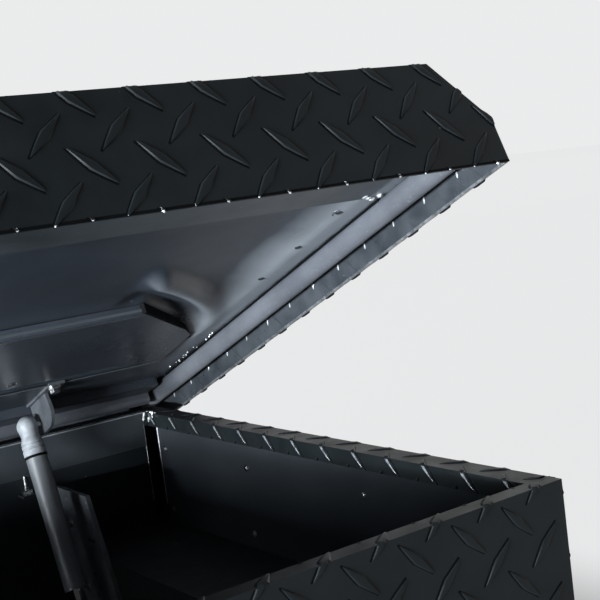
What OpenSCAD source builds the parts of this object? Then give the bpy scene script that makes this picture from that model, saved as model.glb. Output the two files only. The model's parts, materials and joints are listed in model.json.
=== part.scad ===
// Crossover truck tool box with a gas-strut lid, lying along X, front to -Y, hinge at +Y, lid held partly open.

/* [Body] */
// Length of the body over its two end skins
body_l = 1740; // [1500:20:1900]
// Depth of the body from front face to rear face
body_d = 506; // [500:2:520]
// Height of the body from the tub floor to the rim
body_h = 330; // [320:5:460]
// Length of the tub that hangs between the bed rails
tub_l = 1524; // [1300:4:1560]
// Depth of the shoulders that sit on the bed rails
shoulder_drop = 100; // [95:5:110]
// Thickness of the tread plate sheet
sheet_t = 2; // [1.5:0.5:2]
// Thickness of the smooth inner sheet
liner_t = 1.5; // [1:0.5:1.5]
// Width of the rim on the two ends
rim_end_w = 18.6; // [15:0.1:19]
// Width of the rim on the front and the rear
rim_long_w = 12.4; // [11:0.1:13]
// Height of the folded lip inside the rim
lip_h = 12.3; // [10:0.1:14]

/* [Lid] */
// Length of the lid over its end skirts
lid_l = 1780; // [1780:1:1784]
// Distance from the hinge axis to the front face of the lid
lid_reach = 515; // [515:0.5:516]
// Overhang of the lid behind the hinge axis
lid_tail = 34; // [32:0.5:40]
// Height of the lid over its skirts
lid_h = 70; // [66:1:90]
// How far the skirts reach below the rim when the lid is shut
skirt_lap = 12.5; // [8:0.5:13]
// Height at which the end skirts turn into the bevels
bevel_foot = 29.8; // [28:0.1:34]
// Slope of the end bevels from the vertical
bevel_angle = 39.9; // [30:0.1:50]
// Angle at which the lid stands open
lid_open = 23.05; // [0:0.05:75]
// Radius of the bulb seal
seal_r = 9; // [8:0.1:9]

/* [Struts] */
// Distance of the strut planes from the middle of the box
strut_x = 731.4; // [720:0.1:735]
// Distance of the upper strut pivot in front of the hinge axis
strut_top_w = 48; // [45:0.5:55]
// Height of the upper strut pivot above the hinge axis
strut_top_h = 6.8; // [4:0.1:8]
// Y position of the lower strut pivot
strut_foot_y = 143.3; // [135:0.1:145]
// Height of the lower strut pivot above the tub floor
strut_foot_z = 159.3; // [155:0.1:165]
// Radius of the strut cylinder
tube_r = 9; // [8:0.5:9]

/* [Latches] */
// Distance of the latches from the middle of the box
latch_x = 480; // [200:10:560]
// Height of the paddle pivots above the tub floor
paddle_z = 292; // [288:1:294]

/* [Hidden] */
$fn = 48;

// Small gaps: between parts that move past each other, and in running fits
gap = 0.5;
fit = 0.05;

// Body, worked out from the driving dimensions
half_l = body_l / 2;
half_d = body_d / 2;
half_tub = tub_l / 2;
lip_x = half_l - rim_end_w;
seat_z = body_h - shoulder_drop;
rear_lip_h = 32;
liner_rear_gap = 25.6;
liner_rivet_drop = 31;
liner_rivet_rise = 14;
liner_rivet_y = [-232, -80, 72, 205];
rivet_r = 3;
pad_t = 6;
pad_inset = 8;
pad_hole_r = 6.5;
rail_bolt_r = 4.5;
rail_bolt_x = (half_l + half_tub) / 2;
rail_bolt_y = 150;

// Hinge
knuckle_r = 3.5;
pin_r = 1.5;
knuckle_l = 50;
knuckles = 34;
leaf_t = 1.5;
leaf_clear = 4.8;
leaf_drop = 34;
leaf_foot = 13;
hinge_rivets = 17;
hinge_rivet_drop = 24;
hinge_rivet_back = 10.5;
hinge_y = half_d + knuckle_r;
hinge_z = body_h - 9.3;
hinge_half = knuckle_l * knuckles / 2;
hinge_rivet_step = hinge_half * 2 / hinge_rivets;

// Lid in its shut position
lid_half = lid_l / 2;
front_y = hinge_y - lid_reach;
tail_y = hinge_y + lid_tail;
edge_z = body_h - skirt_lap;
top_z = edge_z + lid_h;
bevel_z = edge_z + bevel_foot;
bevel_run = (top_z - bevel_z) * tan(bevel_angle);
flange_z = body_h + 18.6;
flange_x = lid_half - sheet_t - (flange_z + liner_t - bevel_z) * tan(bevel_angle) - fit
    - sheet_t * (1 - cos(bevel_angle)) / cos(bevel_angle);
low_flange_z = body_h + 11.2;
low_flange_w = 36;
pan_z = body_h + 24;
plate_z = body_h + 16.5;
seal_z = body_h + gap + seal_r;
seal_x = lid_half - 12.8;
seal_front_w = 500;
seal_rear_w = 9.6;
seal_rear_r = 5.2;
seal_tail_w = -19;
recess_x = 846;
recess_front_w = 411;
recess_rear_w = 110;
plate_front_w = 245;
plate_rear_w = 112;
plate_side_w = [178, 160, 92];
plate_tip_x = 764.8;
plate_bend_x = 831;
plate_end_x = 844;
plate_rear_x = 790;
lid_rivet_r = 3.4;
lid_rivet_w = [388, 330, 272];
lid_rivet_x = 854;
beam_x = 862;
beam_front_w = 486;

// Struts
socket_r = 8.2;
socket_w = 14;
ball_r = 5;
rod_r = 4;
stud_r = 3;
tube_from = 26;
tube_to = 140;
tube_bore = 7.8;
neck_r = 7;
collar_l = 8;
collar_r = tube_r + 0.4;
piston_at = 76;
piston_l = 12;
foot_neck_l = 6;
ear_x = strut_x + 11.6;
ear_t = 3;
foot_front_w = 98;
foot_rear_w = 38;
foot_bolt_w = 89;
foot_bolt_x = ear_x + 4;
foot_side = [ear_x - 3, ear_x + 11];
ear_lobe_r = 10.5;
ear_belly_r = 14;
ear_belly_w = 64;
ear_root_w = 76;
foot_bolt_r = 3;
washer_r = 6;
washer_t = 1.2;
head_r = 4.4;
head_t = 3.6;
nut_r = 5.5;
nut_t = 4;
top_off = [
    -strut_top_w * cos(lid_open) + strut_top_h * sin(lid_open),
    strut_top_w * sin(lid_open) + strut_top_h * cos(lid_open)
];
top_y = hinge_y + top_off[0];
top_zz = hinge_z + top_off[1];
strut_len = norm([strut_foot_y - top_y, strut_foot_z - top_zz]);
strut_turn = atan2(top_y - strut_foot_y, strut_foot_z - top_zz);
strut_plate_t = 4;
strut_plate_outline = [
    [strut_foot_y - 16, strut_foot_z + 12], [strut_foot_y - 16, strut_foot_z - 14],
    [strut_foot_y + 20, strut_foot_z - 14], [half_d - 16, strut_foot_z + 70],
    [half_d - 16, body_h - 45], [strut_foot_y + 32, body_h - 45]
];
strut_plate_rivet_at = [[4, 22], [26, 14], [52, 44], [80, 66], [70, 96]];
strut_plate_rivet_r = 3.6;

// Latches
dish_w = 104;
dish_top = paddle_z + 9;
dish_bottom = paddle_z - 74;
dish_depth = 17;
bezel = 9;
bezel_t = 2;
wall_t = 1.5;
paddle_y = -half_d + 3;
paddle_t = 3;
tang_drop = 16;
bolt_z = paddle_z - tang_drop;
bolt_half_h = 4;
bolt_half_w = 7;
lock_drop = 42;
lock_r = 9;
lock_lip = 1.5;
lock_end = 11;
key_w = 2;
key_h = 9;
latch_pin_r = 2.5;
latch_rivet_r = 2.6;
paddle_l = 66;
paddle_front = -half_d - 1.5;
eye_r = 4.5;
eye_l = 8;
tang_x = 12;
tang_r = 1.5;
tang_y = paddle_y + 5;
hook_t = 3;
striker_y = -half_d + 24;
striker_w = 40;
striker_t = 3;
striker_drop = 13;
striker_foot = 27;
striker_bolt_x = 12;
striker_bolt_y = 16;
striker_bolt_r = 2.5;
striker_margin = [3, 2];
nose = 5.5;

// An outline in Y and Z, drawn out along X
module along_x(x0, x1) {
    translate([x0, 0, 0]) rotate([90, 0, 90]) linear_extrude(x1 - x0) children();
}

// An outline in X and Z, drawn out along Y
module along_y(y0, y1) {
    translate([0, y1, 0]) rotate([90, 0, 0]) linear_extrude(y1 - y0) children();
}

// A block from its lowest corner to its highest
module block(a, b) {
    translate(a) cube(b - a);
}

// A round bar along X
module bar_x(r, x0, x1, y, z) {
    translate([x0, y, z]) rotate([0, 90, 0]) cylinder(r = r, h = x1 - x0);
}

// A round bar along Y
module bar_y(r, y0, y1, x, z) {
    translate([x, y1, z]) rotate([90, 0, 0]) cylinder(r = r, h = y1 - y0);
}

// Swings parts drawn in the shut position up to where the lid stands
module on_lid() {
    translate([0, hinge_y, hinge_z]) rotate([-lid_open, 0, 0]) translate([0, -hinge_y, -hinge_z]) children();
}

// Distance forward from the hinge axis, given as Y in the shut position
function at_w(w) = hinge_y - w;

// Stands a part in the strut's own frame: upper pivot at the origin, foot along +Z
module on_strut(side) {
    translate([side * strut_x, top_y, top_zz]) rotate([strut_turn, 0, 0]) children();
}

// Turns a part that is the same front and back, so that its open side faces the end of the box
module facing_out(side) {
    rotate([0, 0, side > 0 ? 0 : 180]) children();
}

// Mirrors a right-hand part to the left
module to_side(side) {
    if (side > 0) children();
    else mirror([1, 0, 0]) children();
}

// ---- body ----

module tub_floor() {
    color([0.12, 0.13, 0.14]) block([-half_tub, -half_d + sheet_t, 0], [half_tub, half_d - sheet_t, sheet_t]);
}

// The T shape of the long panels
module panel_outline() {
    polygon([
        [-half_tub, 0], [half_tub, 0], [half_tub, seat_z], [half_l, seat_z], [half_l, body_h],
        [-half_l, body_h], [-half_l, seat_z], [-half_tub, seat_z]
    ]);
}

module front_panel() {
    color([0.10, 0.11, 0.12]) {
        difference() {
            along_y(-half_d, -half_d + sheet_t) panel_outline();
            for (side = [-1, 1])
                block(
                    [side * latch_x - dish_w / 2 - gap, -half_d - 1, dish_bottom - gap],
                    [side * latch_x + dish_w / 2 + gap, -half_d + sheet_t + 1, dish_top + gap]
                );
        }
        block([-half_l, -half_d + sheet_t, body_h - sheet_t], [half_l, -half_d + rim_long_w, body_h]);
        block(
            [-lip_x, -half_d + rim_long_w - sheet_t, body_h - lip_h],
            [lip_x, -half_d + rim_long_w, body_h - sheet_t]
        );
    }
}

module rear_panel() {
    color([0.10, 0.11, 0.12]) {
        along_y(half_d - sheet_t, half_d) panel_outline();
        block([-half_l, half_d - rim_long_w, body_h - sheet_t], [half_l, half_d - sheet_t, body_h]);
        block(
            [-lip_x, half_d - rim_long_w, body_h - rear_lip_h],
            [lip_x, half_d - rim_long_w + sheet_t, body_h - sheet_t]
        );
    }
}

module tub_end(side) {
    color([0.12, 0.13, 0.14]) to_side(side) block(
        [half_tub - sheet_t, -half_d + sheet_t, sheet_t],
        [half_tub, half_d - sheet_t, seat_z + sheet_t]
    );
}

module shoulder_floor(side) {
    color([0.12, 0.13, 0.14]) to_side(side) difference() {
        block([half_tub, -half_d + sheet_t, seat_z], [half_l - sheet_t, half_d - sheet_t, seat_z + sheet_t]);
        for (y = [-rail_bolt_y, rail_bolt_y])
            translate([rail_bolt_x, y, seat_z - 1]) cylinder(r = rail_bolt_r, h = sheet_t + 2);
    }
}

// Outer end skin with the rim folded over its top and the lip folded down inside
module end_skin(side) {
    color([0.10, 0.11, 0.12]) to_side(side) {
        block([half_l - sheet_t, -half_d + sheet_t, seat_z], [half_l, half_d - sheet_t, body_h - sheet_t]);
        block([lip_x, -half_d + rim_long_w, body_h - sheet_t], [half_l, half_d - rim_long_w, body_h]);
        block(
            [lip_x, -half_d + rim_long_w, body_h - lip_h],
            [lip_x + sheet_t, half_d - rim_long_w, body_h - sheet_t]
        );
    }
}

// Smooth inner wall of the shoulder, short of the rear so that the corner stays open
module liner(side) {
    color([0.16, 0.17, 0.18]) to_side(side) block(
        [lip_x, -half_d + rim_long_w + gap, seat_z + sheet_t],
        [lip_x + liner_t, half_d - rim_long_w - liner_rear_gap, body_h - lip_h]
    );
}

// A domed rivet head, pointing along +Z
module rivet(head_r) {
    rotate_extrude() polygon([
        [0, 0], [head_r, 0], [head_r * 0.85, head_r * 0.25], [head_r * 0.5, head_r * 0.4],
        [0, head_r * 0.45]
    ]);
}

// Smooth inner wall of the rear, with the same T shape as the panel behind it
module liner_rear() {
    y = half_d - rim_long_w;
    top = body_h - rear_lip_h;
    low = seat_z + sheet_t;
    inside = half_tub - sheet_t;
    color([0.16, 0.17, 0.18]) along_y(y, y + liner_t) polygon([
        [-inside, sheet_t], [inside, sheet_t], [inside, low], [lip_x, low],
        [lip_x, top], [-lip_x, top], [-lip_x, low], [-inside, low]
    ]);
}

module liner_rivets() {
    color([0.22, 0.23, 0.24]) for (side = [-1, 1]) to_side(side)
        for (y = liner_rivet_y) for (z = [body_h - liner_rivet_drop, seat_z + liner_rivet_rise])
            translate([lip_x, y, z]) rotate([0, -90, 0]) rivet(rivet_r);
}

module rail_pad(side) {
    color([0.05, 0.05, 0.05]) to_side(side) difference() {
        block(
            [half_tub + pad_inset, -half_d + pad_inset, seat_z - pad_t],
            [half_l - pad_inset, half_d - pad_inset, seat_z]
        );
        for (y = [-rail_bolt_y, rail_bolt_y])
            translate([rail_bolt_x, y, seat_z - pad_t - 1]) cylinder(r = pad_hole_r, h = pad_t + 2);
    }
}

// Plate on the tub end that carries the foot of the strut and stands up past the shoulder
module strut_plate(side) {
    inner = half_tub - sheet_t;
    color([0.30, 0.31, 0.33]) to_side(side) along_x(inner - strut_plate_t, inner) polygon(strut_plate_outline);
}

module strut_plate_rivets() {
    inner = half_tub - sheet_t - strut_plate_t;
    color([0.55, 0.56, 0.58]) for (side = [-1, 1]) to_side(side)
        for (at = strut_plate_rivet_at)
            translate([inner, strut_foot_y + at[0], strut_foot_z + at[1]]) rotate([0, -90, 0])
                rivet(strut_plate_rivet_r);
}

// ---- hinge ----

// The knuckles that belong to one leaf: phase 0 for the body, 1 for the lid
module knuckle_row(phase) {
    for (i = [phase:2:knuckles - 1]) {
        x0 = -hinge_half + i * knuckle_l;
        bar_x(knuckle_r, x0 + gap / 2, x0 + knuckle_l - gap / 2, hinge_y, hinge_z);
    }
}

module hinge_leaf_body() {
    color([0.20, 0.21, 0.22]) difference() {
        union() {
            knuckle_row(0);
            block(
                [-hinge_half, half_d, hinge_z - leaf_drop],
                [hinge_half, half_d + leaf_t, hinge_z - leaf_clear]
            );
            for (i = [0:2:knuckles - 1]) {
                x0 = -hinge_half + i * knuckle_l;
                block(
                    [x0 + gap / 2, half_d, hinge_z - leaf_clear - 1],
                    [x0 + knuckle_l - gap / 2, half_d + leaf_t, hinge_z]
                );
            }
        }
        bar_x(pin_r + fit, -hinge_half - 1, hinge_half + 1, hinge_y, hinge_z);
    }
}

module hinge_leaf_lid() {
    leaf_y = hinge_y + knuckle_r - leaf_t;
    color([0.20, 0.21, 0.22]) on_lid() difference() {
        union() {
            knuckle_row(1);
            block(
                [-hinge_half, leaf_y, hinge_z + leaf_clear],
                [hinge_half, leaf_y + leaf_t, low_flange_z]
            );
            block(
                [-hinge_half, leaf_y, low_flange_z - leaf_t],
                [hinge_half, leaf_y + leaf_t + leaf_foot, low_flange_z]
            );
            for (i = [1:2:knuckles - 1]) {
                x0 = -hinge_half + i * knuckle_l;
                block(
                    [x0 + gap / 2, leaf_y, hinge_z],
                    [x0 + knuckle_l - gap / 2, leaf_y + leaf_t, hinge_z + leaf_clear + 1]
                );
            }
        }
        bar_x(pin_r + fit, -hinge_half - 1, hinge_half + 1, hinge_y, hinge_z);
    }
}

module hinge_pin() {
    color([0.62, 0.63, 0.65]) bar_x(pin_r, -hinge_half - 2, hinge_half + 2, hinge_y, hinge_z);
}

module hinge_rivets_body() {
    color([0.30, 0.31, 0.33]) for (i = [0.5:hinge_rivets])
        translate([-hinge_half + i * hinge_rivet_step, half_d + leaf_t, hinge_z - hinge_rivet_drop])
            rotate([-90, 0, 0]) rivet(rivet_r);
}

module hinge_rivets_lid() {
    color([0.30, 0.31, 0.33]) on_lid() for (i = [0.5:hinge_rivets])
        translate([-hinge_half + i * hinge_rivet_step, hinge_y + hinge_rivet_back, low_flange_z - leaf_t])
            rotate([180, 0, 0]) rivet(rivet_r);
}

// ---- lid ----

// Section of the lid across its length, pulled in by t all round and open below
module lid_section(t) {
    slope = [sin(bevel_angle), cos(bevel_angle)];
    foot_x = lid_half - t;
    foot_z = bevel_z - t * (1 - slope[1]) / slope[0];
    head_z = top_z - t;
    head_x = lid_half - (top_z - t - bevel_z) * tan(bevel_angle) - t / slope[1];
    low_z = t > 0 ? edge_z - 1 : edge_z;
    polygon([
        [-foot_x, low_z], [foot_x, low_z], [foot_x, foot_z], [head_x, head_z],
        [-head_x, head_z], [-foot_x, foot_z]
    ]);
}

module lid_skin() {
    color([0.09, 0.10, 0.11]) on_lid() difference() {
        along_y(front_y, tail_y) lid_section(0);
        along_y(front_y + sheet_t, tail_y - sheet_t) lid_section(sheet_t);
    }
}

// Inner pan: a flange that carries the seals, a low wall and a recessed middle
module lid_pan() {
    low_x = seal_x - seal_r - 2;
    color([0.18, 0.19, 0.22]) on_lid() {
        difference() {
            block(
                [-flange_x, front_y + sheet_t, flange_z],
                [flange_x, tail_y - sheet_t, flange_z + liner_t]
            );
            block(
                [-recess_x, at_w(recess_front_w), flange_z - 1],
                [recess_x, at_w(recess_rear_w), flange_z + liner_t + 1]
            );
            block(
                [-low_x + liner_t, at_w(low_flange_w) + liner_t, flange_z - 1],
                [low_x - liner_t, tail_y - sheet_t - liner_t, flange_z + liner_t + 1]
            );
        }
        difference() {
            block([-low_x, at_w(low_flange_w), low_flange_z], [low_x, tail_y - sheet_t, flange_z + liner_t]);
            block(
                [-low_x + liner_t, at_w(low_flange_w) + liner_t, low_flange_z + liner_t],
                [low_x - liner_t, tail_y - sheet_t - liner_t, flange_z + liner_t + 1]
            );
        }
        difference() {
            block(
                [-recess_x - liner_t, at_w(recess_front_w) - liner_t, flange_z + liner_t / 2],
                [recess_x + liner_t, at_w(recess_rear_w) + liner_t, pan_z + liner_t]
            );
            block(
                [-recess_x, at_w(recess_front_w), flange_z - 1],
                [recess_x, at_w(recess_rear_w), pan_z]
            );
        }
    }
}

// Stiffening plate across the rear half of the pan, its front corners cut on the slant
module lid_rear_plate() {
    front = at_w(plate_front_w);
    rear = at_w(plate_rear_w);
    color([0.15, 0.16, 0.18]) on_lid() {
        translate([0, 0, plate_z]) linear_extrude(liner_t) polygon([
            [-plate_tip_x, front], [plate_tip_x, front],
            [plate_bend_x, at_w(plate_side_w[0])], [plate_end_x, at_w(plate_side_w[1])],
            [plate_end_x, at_w(plate_side_w[2])], [plate_rear_x, rear],
            [-plate_rear_x, rear], [-plate_end_x, at_w(plate_side_w[2])],
            [-plate_end_x, at_w(plate_side_w[1])], [-plate_bend_x, at_w(plate_side_w[0])]
        ]);
        block([-plate_tip_x, front, plate_z + liner_t], [plate_tip_x, front + liner_t, pan_z]);
        block([-plate_rear_x, rear - liner_t, plate_z + liner_t], [plate_rear_x, rear, pan_z]);
    }
}

// Channel behind the front skirt that carries the strikers
module lid_front_beam() {
    rear = at_w(recess_front_w);
    front = at_w(beam_front_w);
    color([0.25, 0.27, 0.29]) on_lid() {
        block([-beam_x, front, plate_z], [beam_x, rear, plate_z + liner_t]);
        block([-beam_x, rear - liner_t, plate_z + liner_t], [beam_x, rear, flange_z]);
        block([-beam_x, front, plate_z + liner_t], [beam_x, front + liner_t, flange_z]);
    }
}

module lid_rivets() {
    color([0.35, 0.36, 0.38]) on_lid() {
        for (side = [-1, 1]) for (w = lid_rivet_w)
            translate([side * lid_rivet_x, at_w(w), flange_z]) rotate([180, 0, 0]) rivet(lid_rivet_r);
        for (x = [-700:200:700])
            translate([x, at_w(plate_rear_w + 12), plate_z]) rotate([180, 0, 0]) rivet(lid_rivet_r);
        for (x = [-600:200:600])
            translate([x, at_w(plate_front_w - 12), plate_z]) rotate([180, 0, 0]) rivet(lid_rivet_r);
    }
}

module seal_end(side) {
    rear = at_w(seal_tail_w);
    color([0.20, 0.21, 0.23]) on_lid() {
        bar_y(seal_r, front_y + sheet_t + gap, rear, side * seal_x, seal_z);
        translate([side * seal_x, rear, seal_z]) sphere(r = seal_r);
    }
}

module seal_front() {
    run = seal_x - seal_r - gap;
    color([0.20, 0.21, 0.23]) on_lid() bar_x(seal_r, -run, run, at_w(seal_front_w), seal_z);
}

// Half-round strip on the low flange along the hinge
module seal_rear() {
    run = seal_x - seal_r - 3;
    z = body_h + gap + seal_rear_r;
    y = at_w(seal_rear_w);
    color([0.20, 0.21, 0.23]) on_lid() {
        bar_x(seal_rear_r, -run, run, y, z);
        block([-run, y - seal_rear_r, z], [run, y + seal_rear_r, low_flange_z]);
    }
}

// Foot on the lid with a rounded ear that carries the upper ball stud
module strut_bracket(side) {
    pivot_z = hinge_z + strut_top_h;
    foot_z = flange_z - ear_t;
    color([0.55, 0.57, 0.60]) to_side(side) on_lid() {
        difference() {
            along_x(ear_x, ear_x + ear_t) hull() {
                translate([at_w(strut_top_w + 1), pivot_z + 1]) circle(r = ear_lobe_r);
                translate([at_w(ear_belly_w), pivot_z + 5.5]) circle(r = ear_belly_r);
                translate([at_w(ear_root_w), foot_z - 1]) square([ear_root_w - foot_rear_w, 1]);
            }
            bar_x(stud_r + fit, ear_x - 1, ear_x + ear_t + 1, at_w(strut_top_w), pivot_z);
        }
        difference() {
            block([foot_side[0], at_w(foot_front_w), foot_z], [foot_side[1], at_w(foot_rear_w), flange_z]);
            translate([foot_bolt_x, at_w(foot_bolt_w), foot_z - 1])
                cylinder(r = foot_bolt_r + fit, h = ear_t + 2);
        }
    }
}

module strut_bracket_bolts() {
    color([0.70, 0.71, 0.73]) for (side = [-1, 1]) to_side(side) on_lid()
        translate([foot_bolt_x, at_w(foot_bolt_w), flange_z - ear_t]) {
            translate([0, 0, -washer_t]) cylinder(r = washer_r, h = washer_t);
            translate([0, 0, -washer_t - head_t]) cylinder(r = head_r, h = head_t, $fn = 6);
            cylinder(r = foot_bolt_r, h = ear_t);
        }
}

module ball_studs_lid() {
    pivot_z = hinge_z + strut_top_h;
    nut_from = ear_x + ear_t - strut_x;
    color([0.72, 0.73, 0.75]) for (side = [-1, 1]) on_lid()
        translate([side * strut_x, at_w(strut_top_w), pivot_z]) rotate([0, side * 90, 0]) {
            sphere(r = ball_r);
            cylinder(r = stud_r, h = nut_from + nut_t);
            translate([0, 0, nut_from]) cylinder(r = nut_r, h = nut_t, $fn = 6);
        }
}

// Hanging plate with a window that the latch bolt enters
module latch_strikers() {
    low = bolt_z - striker_drop;
    color([0.60, 0.61, 0.63]) on_lid() for (side = [-1, 1]) translate([side * latch_x, 0, 0]) {
        difference() {
            block([-striker_w / 2, striker_y, low], [striker_w / 2, striker_y + striker_t, plate_z]);
            block(
                [
                    -bolt_half_w - striker_margin[0], striker_y - 1,
                    bolt_z - bolt_half_h - striker_margin[1]
                ],
                [
                    bolt_half_w + striker_margin[0], striker_y + striker_t + 1,
                    bolt_z + bolt_half_h + striker_margin[1]
                ]
            );
        }
        difference() {
            block(
                [-striker_w / 2, striker_y + striker_t, plate_z - striker_t],
                [striker_w / 2, striker_y + striker_foot, plate_z]
            );
            for (x = [-striker_bolt_x, striker_bolt_x])
                translate([x, striker_y + striker_bolt_y, plate_z - striker_t - 1])
                    cylinder(r = striker_bolt_r + fit, h = striker_t + 2);
        }
    }
}

module striker_bolts() {
    color([0.70, 0.71, 0.73]) on_lid() for (side = [-1, 1]) for (x = [-striker_bolt_x, striker_bolt_x])
        translate([side * latch_x + x, striker_y + striker_bolt_y, plate_z - striker_t]) {
            cylinder(r = striker_bolt_r, h = striker_t);
            translate([0, 0, -head_t]) cylinder(r = head_r, h = head_t, $fn = 6);
        }
}

// ---- gas struts ----

// Ball socket across the strut with a neck along it that reaches as far as the tube
module ball_end(reach) {
    difference() {
        union() {
            rotate([0, 90, 0]) cylinder(r = socket_r, h = socket_w, center = true);
            translate([0, 0, ball_r - 1]) cylinder(r = neck_r, h = reach - ball_r + 1);
        }
        rotate([0, 90, 0]) sphere(r = ball_r + fit);
        rotate([0, 90, 0]) cylinder(r = stud_r + 1.2, h = socket_w / 2 + 1);
    }
}

module strut_socket(side) {
    color([0.66, 0.67, 0.69]) on_strut(side) facing_out(side) {
        ball_end(tube_from);
        translate([0, 0, tube_from - collar_l * 1.5]) cylinder(r1 = neck_r, r2 = collar_r, h = collar_l);
        translate([0, 0, tube_from - collar_l / 2]) cylinder(r = collar_r, h = collar_l / 2);
    }
}

module strut_tube(side) {
    color([0.24, 0.25, 0.27]) on_strut(side) difference() {
        translate([0, 0, tube_from]) cylinder(r = tube_r, h = tube_to - tube_from);
        translate([0, 0, tube_from + 4]) cylinder(r = tube_bore, h = tube_to - tube_from - 12);
        translate([0, 0, tube_to - 9]) cylinder(r = rod_r + fit, h = 10);
    }
}

// Rod with the piston that slides in the tube
module strut_rod(side) {
    color([0.78, 0.79, 0.80]) on_strut(side) {
        translate([0, 0, piston_at]) cylinder(r = rod_r, h = strut_len - socket_r - foot_neck_l - piston_at);
        translate([0, 0, piston_at - piston_l]) cylinder(r = tube_bore - fit, h = piston_l);
    }
}

// Lower ball socket with its ball stud, which stops just short of the plate on the tub
module strut_foot(side) {
    face = half_tub - sheet_t - strut_plate_t - strut_x;
    color([0.66, 0.67, 0.69]) on_strut(side) facing_out(side) translate([0, 0, strut_len]) {
        difference() {
            union() {
                rotate([0, 90, 0]) cylinder(r = socket_r, h = socket_w, center = true);
                translate([0, 0, -socket_r - foot_neck_l]) cylinder(r = foot_neck_l, h = socket_r + 2);
            }
            rotate([0, 90, 0]) cylinder(r = ball_r, h = socket_w / 2 + 1);
        }
        rotate([0, 90, 0]) cylinder(r = ball_r, h = socket_w / 2);
        rotate([0, 90, 0]) cylinder(r = stud_r, h = face - gap);
        translate([face - gap - nut_t, 0, 0]) rotate([0, 90, 0]) cylinder(r = nut_r, h = nut_t, $fn = 6);
    }
}

// ---- latches ----

module latch_dish(side) {
    back = -half_d + dish_depth;
    half = dish_w / 2;
    color([0.30, 0.31, 0.32]) translate([side * latch_x, 0, 0]) difference() {
        union() {
            block(
                [-half - bezel, -half_d - bezel_t, dish_bottom - bezel],
                [half + bezel, -half_d, dish_top + bezel - 1]
            );
            block([-half, -half_d, dish_bottom], [half, back, dish_top]);
        }
        block(
            [-half + wall_t, -half_d - bezel_t - 1, dish_bottom + wall_t],
            [half - wall_t, back - wall_t, dish_top - wall_t]
        );
        bar_x(latch_pin_r + fit, -half - 1, half + 1, paddle_y, paddle_z);
        block(
            [-bolt_half_w - gap, back - wall_t - 1, bolt_z - bolt_half_h - gap],
            [bolt_half_w + gap, back + 1, bolt_z + bolt_half_h + gap]
        );
    }
}

module latch_rivets() {
    color([0.45, 0.46, 0.47]) for (side = [-1, 1]) for (x = [-1, 1]) for (z = [0, 1])
        translate([
            side * latch_x + x * (dish_w / 2 + bezel / 2),
            -half_d - bezel_t,
            z > 0 ? dish_top + 3 : dish_bottom - bezel / 2
        ]) rotate([90, 0, 0]) rivet(latch_rivet_r);
}

module paddle_pins() {
    color([0.70, 0.71, 0.73]) for (side = [-1, 1])
        bar_x(latch_pin_r, side * latch_x - dish_w / 2, side * latch_x + dish_w / 2, paddle_y, paddle_z);
}

// Paddle with its two pivot eyes, and the tang bar that draws the bolt
module latch_paddle(side) {
    half = dish_w / 2 - 6;
    front = paddle_front;
    color([0.16, 0.17, 0.18]) translate([side * latch_x, 0, 0]) difference() {
        union() {
            block([-half, front, paddle_z - paddle_l], [half, front + paddle_t, paddle_z + eye_r]);
            for (x = [-half, half - eye_l]) {
                bar_x(eye_r, x, x + eye_l, paddle_y, paddle_z);
                block([x, front, paddle_z - eye_r], [x + eye_l, paddle_y, paddle_z + eye_r]);
            }
            for (x = [-tang_x, tang_x - hook_t])
                block(
                    [x, front + paddle_t - 1, bolt_z - hook_t],
                    [x + hook_t, tang_y + tang_r, bolt_z + hook_t]
                );
            bar_x(tang_r, -tang_x, tang_x, tang_y, bolt_z);
        }
        bar_x(latch_pin_r + fit, -half - 1, half + 1, paddle_y, paddle_z);
        bar_y(lock_r + fit, front - 1, front + paddle_t + 1, 0, paddle_z - lock_drop);
    }
}

module lock_barrel(side) {
    front = -half_d - 4;
    z = paddle_z - lock_drop;
    color([0.72, 0.73, 0.74]) translate([side * latch_x, 0, 0]) difference() {
        union() {
            bar_y(lock_r, front + lock_lip, -half_d + lock_end, 0, z);
            bar_y(lock_r + lock_lip, front, paddle_front - gap / 5, 0, z);
        }
        block([-key_w / 2, front - 1, z - key_h / 2], [key_w / 2, front + 5, z + key_h / 2]);
    }
}

// Sliding bolt: a hook behind the tang bar, and a nose that reaches through the striker
module latch_bolt(side) {
    low = bolt_z - 2 * hook_t;
    color([0.66, 0.67, 0.69]) translate([side * latch_x, 0, 0]) {
        block(
            [-bolt_half_w, tang_y + hook_t, bolt_z - bolt_half_h],
            [bolt_half_w, striker_y + striker_t + nose, bolt_z + bolt_half_h]
        );
        block([-bolt_half_w, tang_y - 5, low], [bolt_half_w, tang_y + hook_t + gap, bolt_z - hook_t]);
        block([-bolt_half_w, tang_y - 5, low], [bolt_half_w, tang_y - 2.5, bolt_z + 2.5]);
    }
}

tub_floor();
front_panel();
rear_panel();
tub_end(1);  // tub_end_right
tub_end(-1);  // tub_end_left
shoulder_floor(1);  // shoulder_floor_right
shoulder_floor(-1);  // shoulder_floor_left
end_skin(1);  // end_skin_right
end_skin(-1);  // end_skin_left
liner(1);  // liner_right
liner(-1);  // liner_left
liner_rear();
liner_rivets();
rail_pad(1);  // rail_pad_right
rail_pad(-1);  // rail_pad_left
strut_plate(1);  // strut_plate_right
strut_plate(-1);  // strut_plate_left
strut_plate_rivets();
hinge_leaf_body();
hinge_leaf_lid();
hinge_pin();
hinge_rivets_body();
hinge_rivets_lid();
lid_skin();
lid_pan();
lid_rear_plate();
lid_front_beam();
lid_rivets();
seal_end(1);  // seal_right
seal_end(-1);  // seal_left
seal_front();
seal_rear();
strut_bracket(1);  // strut_bracket_right
strut_bracket(-1);  // strut_bracket_left
strut_bracket_bolts();
ball_studs_lid();
latch_strikers();
striker_bolts();
strut_tube(1);  // strut_tube_right
strut_tube(-1);  // strut_tube_left
strut_socket(1);  // strut_socket_right
strut_socket(-1);  // strut_socket_left
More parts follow.
